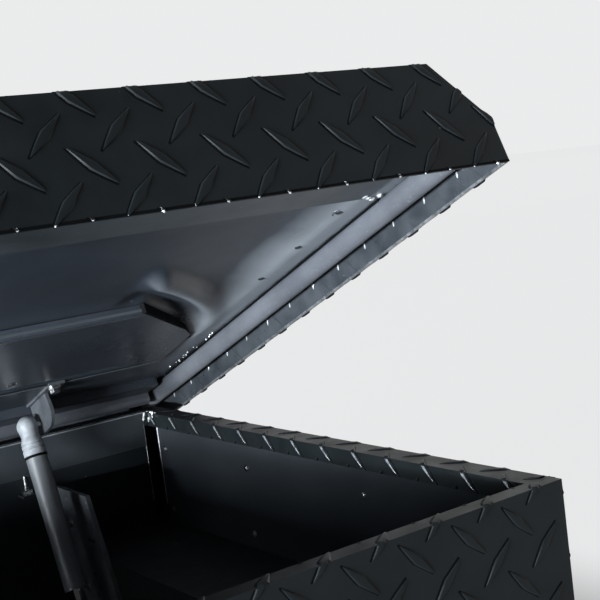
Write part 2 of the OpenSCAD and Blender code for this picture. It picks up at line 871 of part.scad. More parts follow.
strut_rod(1);  // strut_rod_right
strut_rod(-1);  // strut_rod_left
strut_foot(1);  // strut_foot_right
strut_foot(-1);  // strut_foot_left
latch_dish(1);  // latch_dish_right
latch_dish(-1);  // latch_dish_left
latch_rivets();
paddle_pins();
latch_paddle(1);  // latch_paddle_right
latch_paddle(-1);  // latch_paddle_left
lock_barrel(1);  // lock_barrel_right
lock_barrel(-1);  // lock_barrel_left
latch_bolt(1);  // latch_bolt_right
latch_bolt(-1);  // latch_bolt_left
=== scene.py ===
"""Looks of the truck tool box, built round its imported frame. Lengths in the helpers are metres."""

import json
import math
import random

import bmesh
import bpy
import numpy as np
from mathutils import Matrix, Vector, noise

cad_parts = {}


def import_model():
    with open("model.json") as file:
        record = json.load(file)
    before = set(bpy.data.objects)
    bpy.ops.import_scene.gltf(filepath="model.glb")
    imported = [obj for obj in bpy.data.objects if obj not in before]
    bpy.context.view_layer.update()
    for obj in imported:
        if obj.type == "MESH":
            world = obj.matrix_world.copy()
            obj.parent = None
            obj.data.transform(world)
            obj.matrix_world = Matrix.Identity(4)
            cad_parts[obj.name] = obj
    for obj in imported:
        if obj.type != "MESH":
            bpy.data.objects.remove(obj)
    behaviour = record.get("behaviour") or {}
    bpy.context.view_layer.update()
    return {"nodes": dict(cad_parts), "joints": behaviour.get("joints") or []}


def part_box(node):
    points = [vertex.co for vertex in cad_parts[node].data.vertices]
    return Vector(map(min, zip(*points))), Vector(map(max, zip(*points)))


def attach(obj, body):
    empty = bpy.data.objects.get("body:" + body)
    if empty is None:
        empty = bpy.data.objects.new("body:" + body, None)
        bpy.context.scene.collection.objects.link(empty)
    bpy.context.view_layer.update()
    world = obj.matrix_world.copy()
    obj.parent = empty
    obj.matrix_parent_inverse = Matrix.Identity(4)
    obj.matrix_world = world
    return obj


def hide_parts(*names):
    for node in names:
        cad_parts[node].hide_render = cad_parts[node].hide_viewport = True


MM = 0.001
SIDES = ((1, "right"), (-1, "left"))
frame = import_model()
rng = random.Random(7)

# ---- places that the frame gives ----

JOINTS = {j["name"]: j for j in frame["joints"]}
HINGE = Vector(JOINTS["lid_hinge"]["pos_m"])
LID_OPEN = -math.radians(JOINTS["lid_hinge"]["range_deg"][0])
LID_TURN = (
    Matrix.Translation(HINGE) @ Matrix.Rotation(-LID_OPEN, 4, "X") @ Matrix.Translation(-HINGE)
)
STRUT_TOP = Vector(JOINTS["strut_swing_right"]["pos_m"])
STRUT_AXIS = Vector(JOINTS["strut_stroke_right"]["axis"])


def shut_points(node):
    """A lid node's vertices with the lid shut, as an array."""
    back = LID_TURN.inverted()
    return np.array([back @ v.co for v in frame["nodes"][node].data.vertices])


lid_pts = shut_points("lid_skin")
LID_HALF = float(lid_pts[:, 0].max())
LID_FRONT = float(lid_pts[:, 1].min())
LID_TAIL = float(lid_pts[:, 1].max())
EDGE_Z = float(lid_pts[:, 2].min())
TOP_Z = float(lid_pts[:, 2].max())
HEAD_X = float(lid_pts[lid_pts[:, 2] > TOP_Z - 0.1 * MM][:, 0].max())
BEVEL_Z = float(lid_pts[lid_pts[:, 0] > LID_HALF - 0.1 * MM][:, 2].max())
front_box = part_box("front_panel")
skin_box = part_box("end_skin_right")
HALF_L = front_box[1][0]
HALF_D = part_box("rear_panel")[1][1]
RIM_Z = front_box[1][2]
LIP_X = skin_box[0][0]
SEAT_Z = skin_box[0][2]
HALF_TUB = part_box("tub_floor")[1][0]
RIM_LONG = front_box[1][1] + HALF_D
SHEET = 2 * MM
LIP_H = 12.3 * MM
REAR_LIP_H = 32 * MM
FLANGE_Z = RIM_Z + 18.6 * MM
PLATE_Z = RIM_Z + 16.5 * MM
LOW_FLANGE_Z = float(shut_points("lid_pan")[:, 2].min())
LOW_FLANGE_W = 36 * MM
PAN_T = 1.2 * MM


# ---- camera ----


CAMERA_LENS = 74.24
CAMERA_SENSOR = 36
CAMERA_PLACE = (0.3471, -0.7618, RIM_Z + 0.2029)
CAMERA_DEGREES = (83.7845, 7.2757, -35.4792)


def add_camera():
    cam = bpy.data.cameras.new("camera")
    cam.sensor_width = CAMERA_SENSOR
    cam.lens = CAMERA_LENS
    cam.clip_start = 0.01
    cam.clip_end = 200
    obj = bpy.data.objects.new("camera", cam)
    obj.location = CAMERA_PLACE
    obj.rotation_euler = [math.radians(a) for a in CAMERA_DEGREES]
    bpy.context.scene.collection.objects.link(obj)
    bpy.context.scene.camera = obj


add_camera()

# ---- materials ----


SPECK = (0.3, 0.31, 0.33)


class Nodes:
    """Short names for the nodes of one material."""

    def __init__(self, name):
        self.mat = bpy.data.materials.new(name)
        self.mat.use_nodes = True
        self.tree = self.mat.node_tree
        self.shader = self.tree.nodes["Principled BSDF"]
        coords = self.tree.nodes.new("ShaderNodeTexCoord")
        self.place = coords.outputs["Object"]

    def node(self, kind, **values):
        n = self.tree.nodes.new(kind)
        for key, value in values.items():
            if hasattr(n, key):
                setattr(n, key, value)
            else:
                n.inputs[key.replace("_", " ")].default_value = value
        return n

    def link(self, a, b):
        self.tree.links.new(a, b)

    def feed(self, value, socket):
        """Links an output to the socket, or sets a plain value."""
        if hasattr(value, "is_output"):
            self.link(value, socket)
        else:
            socket.default_value = value

    def stretched(self, scale):
        m = self.node("ShaderNodeMapping", Scale=scale)
        self.link(self.place, m.inputs["Vector"])
        return m.outputs["Vector"]

    def noise(self, scale, detail=3.0, rough=0.55, where=None):
        n = self.node("ShaderNodeTexNoise", Scale=scale, Detail=detail, Roughness=rough)
        self.link(where or self.place, n.inputs["Vector"])
        return n.outputs["Fac"]

    def specks(self, scale, size):
        """1 on small round specks, 0 elsewhere."""
        v = self.node("ShaderNodeTexVoronoi", Scale=scale)
        self.link(self.place, v.inputs["Vector"])
        return self.ramp(v.outputs["Distance"], size, 0.0, size * 0.6, 1.0)

    def speck_zones(self, size):
        """Specks that keep to a few zones."""
        return self.times(self.specks(90, size), self.ramp(self.noise(9), 0.62, 1, 0.5, 0))

    def ramp(self, fac, hi, hi_value, lo, lo_value, kind="LINEAR"):
        """Maps fac from lo..hi to lo_value..hi_value, held at the ends."""
        span = {"From_Min": lo, "From_Max": hi, "To_Min": lo_value, "To_Max": hi_value}
        r = self.node("ShaderNodeMapRange", interpolation_type=kind, **span)
        self.link(fac, r.inputs["Value"])
        return r.outputs["Result"]

    def mix(self, fac, a, b):
        m = self.node("ShaderNodeMix", data_type="RGBA")
        self.link(fac, m.inputs["Factor"])
        for value, socket in ((a, m.inputs["A"]), (b, m.inputs["B"])):
            self.feed(value if hasattr(value, "is_output") else (*value, 1), socket)
        return m.outputs["Result"]

    def times(self, a, b):
        return self.math("MULTIPLY", a, b)

    def math(self, operation, a, b=0.0):
        m = self.node("ShaderNodeMath", operation=operation)
        self.feed(a, m.inputs[0])
        self.feed(b, m.inputs[1])
        return m.outputs["Value"]

    def bump(self, layers):
        """Layers of (height, strength, distance in metres), finest last."""
        last = None
        for height, strength, distance in layers:
            b = self.node("ShaderNodeBump", Strength=strength, Distance=distance)
            self.link(height, b.inputs["Height"])
            if last:
                self.link(last, b.inputs["Normal"])
            last = b.outputs["Normal"]
        self.link(last, self.shader.inputs["Normal"])

    def set(self, **values):
        for key, value in values.items():
            self.feed(value, self.shader.inputs[key.replace("_", " ")])


def coated(name, dark, light, rough, grain=0.25, blotch=14, specks=0.0, gloss=0.5):
    """Powder coated or painted sheet: two close tones, a fine grain, and a few pale specks."""
    n = Nodes(name)
    tone = n.mix(n.ramp(n.noise(blotch, 4), 0.68, 1, 0.32, 0), dark, light)
    if specks:
        tone = n.mix(n.speck_zones(specks), tone, SPECK)
    n.set(
        Base_Color=tone,
        Roughness=n.ramp(n.noise(blotch * 2.3, 5), 0.7, rough[1], 0.3, rough[0]),
        Specular_IOR_Level=gloss,
    )
    n.bump([(n.noise(35, 2), 0.12, 0.6 * MM), (n.noise(1400, 2, 0.7), grain, 0.12 * MM)])
    return n.mat


# Middle and half axes of the pan's drawn pockets, as (x, w) and (along, across) their slant
POCKET = (774 * MM, 233 * MM)
POCKET_HALF = (108 * MM, 35 * MM)


def pan_coat():
    """The inner coat, with a painted highlight on the pan's end flanges and round the pockets' rims."""
    n = Nodes("pan_coat")
    shade = n.ramp(n.noise(7, 4), 0.68, 1, 0.32, 0)
    coat = n.mix(shade, (0.028, 0.034, 0.044), (0.046, 0.055, 0.069))
    # A pale copy of the coat: a painted highlight for the end flanges and the pocket rims
    painted_highlight = n.mix(shade, (0.2, 0.222, 0.25), (0.3, 0.328, 0.365))
    split = n.node("ShaderNodeSeparateXYZ")
    n.link(n.place, split.inputs["Vector"])
    x = n.math("ABSOLUTE", split.outputs["X"])
    wander = n.math("ADD", x, n.times(n.noise(11, 3), 0.03))
    flange = n.ramp(wander, 0.868, 1, 0.836, 0)
    ahead = n.ramp(split.outputs["Y"], HINGE.y - 0.16, 1, HINGE.y - 0.09, 0)
    # Painted highlight on the end flanges, ahead of the hinge
    tone = n.mix(n.times(flange, ahead), coat, painted_highlight)
    # Painted highlight on the pocket's rim, an ellipse turned by 45 degrees
    dx = n.math("SUBTRACT", x, POCKET[0])
    axis_y = HINGE.y + (FLANGE_Z - HINGE.z) * math.sin(LID_OPEN)
    w = n.times(n.math("SUBTRACT", axis_y, split.outputs["Y"]), 1 / math.cos(LID_OPEN))
    dw = n.math("SUBTRACT", w, POCKET[1])
    c = math.sqrt(0.5)
    along = n.times(n.math("SUBTRACT", dx, dw), c / POCKET_HALF[0])
    over = n.times(n.math("ADD", dx, dw), c / POCKET_HALF[1])
    out = n.math("SQRT", n.math("ADD", n.times(along, along), n.times(over, over)))
    rim_highlight = n.times(n.ramp(out, 0.98, 1, 0.84, 0), n.ramp(out, 1.3, 0, 1.04, 1))
    rim_highlight = n.times(rim_highlight, n.ramp(x, 0.765, 1, 0.742, 0))
    rim_highlight = n.times(rim_highlight, n.ramp(over, 0.5, 0.8, 0.1, 0))
    tone = n.mix(rim_highlight, tone, painted_highlight)
    tone = n.mix(n.speck_zones(0.06), tone, SPECK)
    n.set(Base_Color=tone, Roughness=n.ramp(n.noise(16, 5), 0.7, 0.38, 0.3, 0.26))
    n.bump([(n.noise(35, 2), 0.12, 0.6 * MM), (n.noise(1400, 2, 0.7), 0.16, 0.12 * MM)])
    return n.mat


def bare(name, dark, light, rough, scale=120, metallic=1.0, grain=0.3):
    """Bare or plated metal with blotches, fine scratches and uneven gloss."""
    n = Nodes(name)
    tone = n.mix(n.ramp(n.noise(scale, 5), 0.7, 1, 0.3, 0), dark, light)
    streaks = n.noise(180, 3, where=n.stretched((0.15, 3, 3)))
    n.set(Base_Color=tone, Roughness=n.ramp(streaks, 0.7, rough[1], 0.3, rough[0]), Metallic=metallic)
    n.bump([(streaks, grain * 0.5, 0.1 * MM), (n.noise(900, 3), grain, 0.08 * MM)])
    return n.mat


def seal_rubber():
    n = Nodes("seal_rubber")
    tone = n.mix(n.ramp(n.noise(22, 4), 0.7, 1, 0.3, 0), (0.066, 0.071, 0.083), (0.112, 0.119, 0.135))
    dust = n.ramp(n.noise(260, 4, 0.7), 0.75, 0.35, 0.6, 0)
    n.set(
        Base_Color=n.mix(dust, tone, SPECK),
        Roughness=n.ramp(n.noise(40, 4), 0.7, 0.4, 0.3, 0.28),
        Specular_IOR_Level=0.7,
    )
    n.bump([(n.noise(30, 2), 0.25, 0.8 * MM), (n.noise(700, 3), 0.25, 0.12 * MM)])
    return n.mat


MATS = {
    "tread": coated(
        "tread_coat", (0.0035, 0.0055, 0.0065), (0.006, 0.009, 0.0105), (0.42, 0.56), 0.35, 20, 0.035, 0.3
    ),
    "plate": coated("plate_coat", (0.009, 0.01, 0.011), (0.016, 0.017, 0.019), (0.38, 0.5), 0.3, 12, 0.05),
    "inner": coated("inner_coat", (0.03, 0.035, 0.045), (0.05, 0.057, 0.071), (0.24, 0.36), 0.16, 7, 0.06),
    "liner": coated(
        "liner_coat", (0.015, 0.018, 0.0215), (0.025, 0.0295, 0.034), (0.36, 0.48), 0.2, 9, 0.07, 0.25
    ),
    "beam": coated("beam_coat", (0.048, 0.057, 0.066), (0.078, 0.088, 0.1), (0.3, 0.42), 0.16, 15, 0.07),
    "bracket": coated("bracket_coat", (0.05, 0.055, 0.062), (0.1, 0.108, 0.12), (0.26, 0.42), 0.3, 45, 0.12),
    "lining": coated(
        "skirt_lining", (0.022, 0.026, 0.031), (0.052, 0.058, 0.066), (0.26, 0.38), 0.3, 40, 0.05
    ),
    # A pale coat for the seal trims: a painted highlight on the pan's edge
    "roll": coated("edge_highlight_coat", (0.1, 0.112, 0.128), (0.17, 0.185, 0.205), (0.26, 0.38), 0.2, 40, 0.05),
    "pan": pan_coat(),
    # A pale coat for the smooth rear lip: painted light for the lit band under the rim
    "rear_lip": coated(
        "rear_lip_painted_light", (0.034, 0.041, 0.048), (0.054, 0.062, 0.07), (0.3, 0.42), 0.2, 9, 0.07
    ),
    "strut": coated("strut_coat", (0.085, 0.092, 0.102), (0.13, 0.14, 0.152), (0.38, 0.5), 0.1, 30, 0.04),
    "latch": coated("latch_coat", (0.012, 0.013, 0.014), (0.022, 0.023, 0.025), (0.34, 0.5), 0.5, 30, 0.05),
    "rubber": coated("pad_rubber", (0.01, 0.01, 0.011), (0.022, 0.022, 0.023), (0.6, 0.78), 0.5, 30, 0.06),
    "rivet": bare("rivet_metal", (0.12, 0.125, 0.13), (0.3, 0.31, 0.33), (0.25, 0.45), 300),
    "zinc": bare("zinc_steel", (0.42, 0.43, 0.45), (0.68, 0.69, 0.7), (0.18, 0.34), 160),
    "socket": bare("socket_metal", (0.2, 0.215, 0.235), (0.38, 0.4, 0.43), (0.55, 0.7), 110, 0.3, 0.7),
    "chrome": bare("bright_chrome", (0.62, 0.63, 0.65), (0.78, 0.79, 0.8), (0.06, 0.13), 60, 1.0, 0.08),
    # Bare metal for chips and weld spatter, also used for painted highlights
    "chip_and_highlight": bare("worn_edge_and_highlight", (0.5, 0.52, 0.55), (0.95, 0.96, 0.98), (0.3, 0.5), 500, 0.5, 0.6),
    "edge": bare("cut_edge", (0.12, 0.13, 0.14), (0.5, 0.52, 0.55), (0.25, 0.45), 200, 0.8, 0.4),
    "ridge": bare("worn_ridge_and_highlight", (0.07, 0.078, 0.088), (0.36, 0.385, 0.42), (0.35, 0.5), 260, 0.45, 0.5),
    "seal": seal_rubber(),
    # Near black for painted shade: lug shadows, gaps, a groove and an edge in shade
    "black": coated(
        "painted_shade_black", (0.0015, 0.0017, 0.002), (0.003, 0.0034, 0.004), (0.55, 0.7), 0.3, 30, 0, 0.06
    ),
}

# ---- meshes ----


def placed(name, mesh, mat, body, smooth=True):
    """A piece that rides on a body. Lid pieces are built with the lid shut and turned to the lid at rest."""
    if body == "lid":
        mesh.transform(LID_TURN)
    obj = bpy.data.objects.new(name, mesh)
    bpy.context.scene.collection.objects.link(obj)
    mesh.materials.append(MATS[mat])
    if smooth:
        mesh.shade_smooth()
    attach(obj, body)
    return obj


def add_mesh(name, verts, faces, mat, body, smooth=True):
    mesh = bpy.data.meshes.new(name)
    mesh.from_pydata([tuple(v) for v in verts], [], faces)
    mesh.validate()
    return placed(name, mesh, mat, body, smooth)


def ring_faces(base, rings, sides):
    """Faces between rings of vertices that follow one another."""
    faces = []
    for i in range(rings - 1):
        for k in range(sides):
            a, b = base + i * sides + k, base + i * sides + (k + 1) % sides
            faces.append((a, b, b + sides, a + sides))
    return faces


def smooth_by_angle(obj, degrees, face_out=False):
    """Marks edges sharper than this, so that shading breaks there."""
    mesh = obj.data
    bm = bmesh.new()
    bm.from_mesh(mesh)
    if face_out:
        bmesh.ops.recalc_face_normals(bm, faces=bm.faces[:])
    limit = math.radians(degrees)
    for e in bm.edges:
        e.smooth = len(e.link_faces) == 2 and e.calc_face_angle(0) < limit
    bm.to_mesh(mesh)
    bm.free()


def bevelled(obj, width):
    m = obj.modifiers.new("edges", "BEVEL")
    m.width = width
    m.segments = 2
    m.limit_method = "ANGLE"
    m.angle_limit = math.radians(40)
    m.harden_normals = False


# ---- tread plate lugs ----

PITCH_U = 38.7 * MM
PITCH_V = 37.57 * MM
LUG_HALF = 16.8 * MM
LUG_HALF_W = 3.5 * MM
LUG_SIZE = (LUG_HALF, LUG_HALF_W)
LUG_H = 1.0 * MM
LUG_ROOT = 0.3 * MM
# Size, height and offset of the dark copy under each lug: a painted shadow
SHADOW_GROW = 1.2 * MM
SHADOW_H = 0.1 * MM
SHADOW_SHIFT = (-1.05 * MM, -0.55 * MM)


class Fold:
    """A sheet folded along straight lines. Its outline is a row of points in a plane, with the outside on
    the left of the direction of travel; v runs along the outline and u straight across it."""

    SOFT = 2.5 * MM

    def __init__(self, points, put):
        self.p = np.array(points, float)
        steps = np.diff(self.p, axis=0)
        self.length = np.linalg.norm(steps, axis=1)
        self.dir = steps / self.length[:, None]
        self.out = np.stack([-self.dir[:, 1], self.dir[:, 0]], 1)
        self.start = np.concatenate([[0], np.cumsum(self.length)])
        self.put = put

    def total(self):
        return self.start[-1]

    def place(self, u, v, h):
        i = np.clip(np.searchsorted(self.start, v, side="right") - 1, 0, len(self.length) - 1)
        base = self.p[i] + self.dir[i] * (v - self.start[i])[:, None]
        out = self.out[i].copy()
        for c in range(1, len(self.length)):
            d = v - self.start[c]
            near = np.abs(d) < self.SOFT
            other = self.out[np.where(d < 0, c, c - 1)]
            share = (0.5 * (1 - np.abs(d) / self.SOFT))[:, None]
            out = np.where(near[:, None], out * (1 - share) + other * share, out)
        out /= np.linalg.norm(out, axis=1)[:, None]
        return self.put(u, base + out * h[:, None])


def lug_template(stations=11):
    """One lug as (along, across, height) from -1 to 1 and 0 to 1, with its faces: a long lozenge with a
    low crown and steep sides. It is closed below."""
    rows = [(-1.0, 0.0), (-0.6, 0.82), (0.0, 1.0), (0.6, 0.82), (1.0, 0.0)]
    pts, faces = [], []
    inner = np.linspace(-1, 1, stations)[1:-1]
    for s in inner:
        body = (1 - abs(s)) ** 0.85
        for t, h in rows:
            pts.append((s, t * body, h * min(1, 2.4 * body) if h else -1))
    tips = (len(pts), len(pts) + 1)
    pts += [(-1, 0, -1), (1, 0, -1)]
    n = len(rows)
    for k in range(len(inner) - 1):
        for j in range(n - 1):
            a = k * n + j
            faces.append((a, a + n, a + n + 1, a + 1))
    for j in range(n - 1):
        faces.append((tips[0], j, j + 1))
        a = (len(inner) - 1) * n + j
        faces.append((a + 1, a, tips[1]))
    near = [k * n for k in range(len(inner))]
    far = [k * n + n - 1 for k in range(len(inner))]
    faces.append([tips[0]] + far + [tips[1]] + near[::-1])
    return np.array(pts), faces


LUG_PTS, LUG_FACES = lug_template()


def stations(span, start, pitch):
    """The places start + i * pitch that lie within the span."""
    first = math.ceil((span[0] - start) / pitch)
    last = math.floor((span[1] - start) / pitch)
    return [start + i * pitch for i in range(first, last + 1)]


def lug_centres(u_range, v_range, phase, pitch=(PITCH_U, PITCH_V)):
    """Lug centres and slopes of the crossed pattern: +1 rises with u, -1 falls."""
    found = []
    for slope, half in ((1, 0), (-1, 0.5)):
        for u in stations(u_range, phase[0] + half * pitch[0], pitch[0]):
            for v in stations(v_range, phase[1] + half * pitch[1], pitch[1]):
                found.append((u, v, slope))
    return found


def lug_mesh(fold, centres, height, size, side, shift):
    """Vertices and faces of lugs laid on a fold. side -1 puts them on the sheet's inner face."""
    verts, faces = [], []
    c = math.sqrt(0.5)
    along = LUG_PTS[:, 0] * size[0]
    across = LUG_PTS[:, 1] * size[1]
    h = np.where(LUG_PTS[:, 2] > 0, LUG_PTS[:, 2] * height, -LUG_ROOT) * side
    for k, (cu, cv, slope) in enumerate(centres):
        u = cu + shift[0] + (along - across * slope) * c
        v = cv + shift[1] + (along * slope + across) * c
        verts.append(fold.place(u, v, h))
        for f in LUG_FACES:
            faces.append([i + k * len(LUG_PTS) for i in f])
    return np.concatenate(verts), faces


def lugs_with_painted_shadow(name, parts, body):
    """Lugs, each with a thin dark copy round its foot, set off towards the lower left as a painted shadow.
    """
    lug_piece(name, parts, body, "tread")
    grown = (LUG_HALF + SHADOW_GROW * 2, LUG_HALF_W + SHADOW_GROW)
    lug_piece(name + "_painted_shadow", parts, body, "black", SHADOW_H, grown, 1, SHADOW_SHIFT)


def lug_piece(name, parts, body, mat, height=LUG_H, size=LUG_SIZE, side=1, shift=(0, 0)):
    """Lugs of several folds in one mesh. Each part is (fold, centres, planes that cut off the rest)."""
    whole = bmesh.new()
    for fold, centres, planes in parts:
        if not centres:
            continue
        verts, faces = lug_mesh(fold, centres, height, size, side, shift)
        mesh = bpy.data.meshes.new("part")
        mesh.from_pydata(verts.tolist(), [], faces)
        bm = bmesh.new()
        bm.from_mesh(mesh)
        bmesh.ops.recalc_face_normals(bm, faces=bm.faces[:])
        for point, normal in planes:
            cut = bmesh.ops.bisect_plane(
                bm,
                geom=bm.verts[:] + bm.edges[:] + bm.faces[:],
                dist=1e-6,
                plane_co=point,
                plane_no=normal,
                clear_outer=True,
            )
            edges = [g for g in cut["geom_cut"] if isinstance(g, bmesh.types.BMEdge) and g.is_valid]
            bmesh.ops.holes_fill(bm, edges=edges, sides=0)
        bm.to_mesh(mesh)
        bm.free()
        whole.from_mesh(mesh)
        bpy.data.meshes.remove(mesh)
    mesh = bpy.data.meshes.new(name)
    whole.to_mesh(mesh)
    whole.free()
    smooth_by_angle(placed(name, mesh, mat, body), 20)


def along_box(u, ab):
    return np.stack([u, ab[:, 0], ab[:, 1]], 1)


def across_box(side):
    def put(u, ab):
        return np.stack([side * ab[:, 0], u, ab[:, 1]], 1)

    return put


def below(z):
    """A plane that cuts off what is below this height."""
    return (0, 0, z), (0, 0, -1)


def above(z):
    return (0, 0, z), (0, 0, 1)


def both_ends(half, axis):
    """Planes that cut off what is beyond half, at both ends of X (axis 0) or Y (axis 1)."""
    planes = []
    for s in (-1, 1):
        normal = [0, 0, 0]
        normal[axis] = s
        planes.append(([half * n for n in normal], normal))
    return planes


SKIRT_PHASE = (599.3 * MM, 9.7 * MM)
MARK_H = 0.5 * MM
MARK_SIZE = (LUG_HALF, 2.6 * MM)
LINING_X = LID_HALF - SHEET - 0.3 * MM
FIRST_TICK_W = 471.1 * MM
FIRST_BUMP_W = 484 * MM


def near(value, low, high, margin=LUG_HALF):
    return low - margin < value < high + margin


def lid_lugs():
    skirt_h = TOP_Z - EDGE_Z
    depth = LID_TAIL - LID_FRONT
    points = [(LID_FRONT, EDGE_Z), (LID_FRONT, TOP_Z), (LID_TAIL, TOP_Z), (LID_TAIL, EDGE_Z)]
    fold = Fold(points, along_box)
    bevel = Vector((TOP_Z - BEVEL_Z, 0, LID_HALF - HEAD_X)).normalized()
    slants = [((s * LID_HALF, 0, BEVEL_Z), (s * bevel.x, 0, bevel.z)) for s in (-1, 1)]
    around = both_ends(LID_HALF, 0) + slants + [below(EDGE_Z)]
    wide = (-LID_HALF, LID_HALF)
    front = lug_centres(wide, (-LUG_HALF, skirt_h + LUG_HALF), SKIRT_PHASE)
    back = lug_centres(wide, (skirt_h + depth - LUG_HALF, fold.total() + LUG_HALF), SKIRT_PHASE)
    # The top runs on over the bevels into the end skirts
    right = [(LID_HALF, EDGE_Z), (LID_HALF, BEVEL_Z), (HEAD_X, TOP_Z)]
    over = Fold(right + [(-x, z) for x, z in right[::-1]], across_box(1))
    # v runs from the right end's lower edge: the pattern is the skirt's, read along X
    foot = over.total() / 2
    long_way = (-foot - LUG_HALF, foot + LUG_HALF)
    short_way = (skirt_h - LUG_HALF, skirt_h + depth + LUG_HALF)
    centres = []
    for u, v, slope in lug_centres(long_way, short_way, SKIRT_PHASE):
        centres.append((LID_FRONT + v - skirt_h, foot - u, -slope))
    top_cuts = [
        ((0, LID_FRONT, TOP_Z), (0, -1, -1)),
        ((0, LID_TAIL, TOP_Z), (0, 1, -1)),
        ((0, LID_FRONT, 0), (0, -1, 0)),
        ((0, LID_TAIL, 0), (0, 1, 0)),
        below(EDGE_Z),
    ]
    for name, part in (
        ("front", (fold, front, [((0, LID_FRONT, TOP_Z), (0, 1, 1))] + around)),
        ("tail", (fold, back, [((0, LID_TAIL, TOP_Z), (0, -1, 1))] + around)),
        ("top", (over, centres, top_cuts)),
    ):
        lugs_with_painted_shadow("tread_lugs_lid_" + name, [part], "lid")
    for side, name in SIDES:
        skirt_marks(name, side, centres, over.total())


def skirt_marks(name, side, centres, total):
    """Faint marks of the lugs on the inside of an end skirt."""
    shown = []
    for u, v, slope in centres:
        run = v if side > 0 else total - v
        if near(run, 0, BEVEL_Z - EDGE_Z):
            shown.append((u, run, side * slope))
    inner = Fold([(LINING_X, EDGE_Z), (LINING_X, BEVEL_Z)], across_box(side))
    cuts = [
        below(EDGE_Z),
        above(FLANGE_Z),
        ((0, LID_FRONT + SHEET, 0), (0, -1, 0)),
        ((0, LID_TAIL - SHEET, 0), (0, 1, 0)),
    ]
    lug_piece("skirt_marks_" + name, [(inner, shown, cuts)], "lid", "lining", MARK_H, MARK_SIZE, -1)


PANEL_PHASE = (SKIRT_PHASE[0], 3 * MM)
END_PHASE = (188.5 * MM, 10.8 * MM)
RIDGE_H = LUG_H + 0.3 * MM
RIDGE_SIZE = (LUG_HALF * 0.9, 1.7 * MM)


def panel_lugs(name, s, lip):
    """A long panel with its rim and lip, outside the tub and on the tub's side."""

    def put(u, ab):
        return np.stack([u, s * ab[:, 0], ab[:, 1]], 1)

    inner = HALF_D - RIM_LONG
    fold = Fold([(inner, RIM_Z - lip), (inner, RIM_Z), (HALF_D, RIM_Z), (HALF_D, 0)], put)
    found = lug_centres((-HALF_L, HALF_L), (0, fold.total()), PANEL_PHASE)
    seat_v = fold.total() - SEAT_Z
    upper = [c for c in found if c[1] < seat_v + LUG_HALF]
    lower = [c for c in found if c[1] > seat_v - LUG_HALF and abs(c[0]) < HALF_TUB + LUG_HALF]
    lip_v = lip + RIM_LONG * 0.5
    middle = (0, s * (HALF_D - RIM_LONG * 0.5), 0)
    parts = []
    if s < 0:
        on_lip = [c for c in upper if c[1] < lip_v + LUG_HALF]
        parts.append((fold, on_lip, both_ends(LIP_X, 0) + [(middle, (0, s, 0)), below(RIM_Z - lip)]))
    outside = [c for c in upper if c[1] > lip_v - LUG_HALF]
    parts.append((fold, outside, [(middle, (0, -s, 0)), below(SEAT_Z)] + both_ends(HALF_L, 0)))
    parts.append((fold, lower, [above(SEAT_Z), below(0)] + both_ends(HALF_TUB, 0)))
    if s < 0:
        parts = cut_round_latches(parts)
    lugs_with_painted_shadow("tread_lugs_" + name, parts, "box")


def end_lugs(name, side):
    """An end skin with its rim and lip, the lip's ridges, partly worn and partly a painted highlight on the
    lugs that face the light, and the tub's end wall.
    """
    turned = (PITCH_V, PITCH_U)
    points = [(LIP_X, RIM_Z - LIP_H), (LIP_X, RIM_Z), (HALF_L, RIM_Z), (HALF_L, SEAT_Z)]
    fold = Fold(points, across_box(side))
    wide = (-HALF_D, HALF_D)
    found = lug_centres(wide, (-LUG_HALF, fold.total() + LUG_HALF), END_PHASE, turned)
    edge_v = LIP_H + HALF_L - LIP_X
    on_lip = [c for c in found if c[1] < edge_v + LUG_HALF]
    outside = [c for c in found if c[1] > edge_v - LUG_HALF]
    corner = (side * HALF_L, 0, RIM_Z)
    lips = both_ends(HALF_D - RIM_LONG, 1)
    parts = [
        (fold, on_lip, lips + [below(RIM_Z - LIP_H), (corner, (side, 0, -1))]),
        (fold, outside, both_ends(HALF_D, 1) + [(corner, (-side, 0, 1)), below(SEAT_Z)]),
    ]
    lugs_with_painted_shadow("tread_lugs_end_" + name, parts, "box")
    # Pale ridges only on lugs rising one way: partly wear, partly a painted highlight on the side facing the
    # light
    rising = [c for c in on_lip if c[2] > 0]
    cuts = lips + [below(RIM_Z - LIP_H), above(RIM_Z - 0.6 * MM)]
    lug_piece("lip_ridges_" + name, [(fold, rising, cuts)], "box", "ridge", RIDGE_H, RIDGE_SIZE)
    outer = Fold([(HALF_TUB, SEAT_Z), (HALF_TUB, 0)], across_box(side))
    cuts = both_ends(HALF_D, 1) + [above(SEAT_Z), below(0)]
    found = lug_centres(wide, (-LUG_HALF, SEAT_Z + LUG_HALF), END_PHASE, turned)
    lugs_with_painted_shadow("tread_lugs_tub_" + name, [(outer, found, cuts)], "box")


def body_lugs():
    panel_lugs("front", -1, LIP_H)
    panel_lugs("rear", 1, REAR_LIP_H)
    end_lugs("right", 1)
    end_lugs("left", -1)


def cut_round_latches(parts):
    """Leaves out the lugs that a latch dish covers."""
    margin = LUG_HALF * 0.8
    boxes = [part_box("latch_dish_" + s) for s in ("right", "left")]

    def covered(at):
        for low, high in boxes:
            over_x = low[0] - margin < at[0] < high[0] + margin
            if over_x and low[2] - margin < at[2] < high[2] + margin:
                return True
        return False

    kept = []
    for fold, centres, planes in parts:
        at = [fold.place(np.array([u]), np.array([v]), np.array([0.0]))[0] for u, v, _ in centres]
        kept.append((fold, [c for c, point in zip(centres, at) if not covered(point)], planes))
    return kept


lid_lugs()
body_lugs()

# ---- seals ----


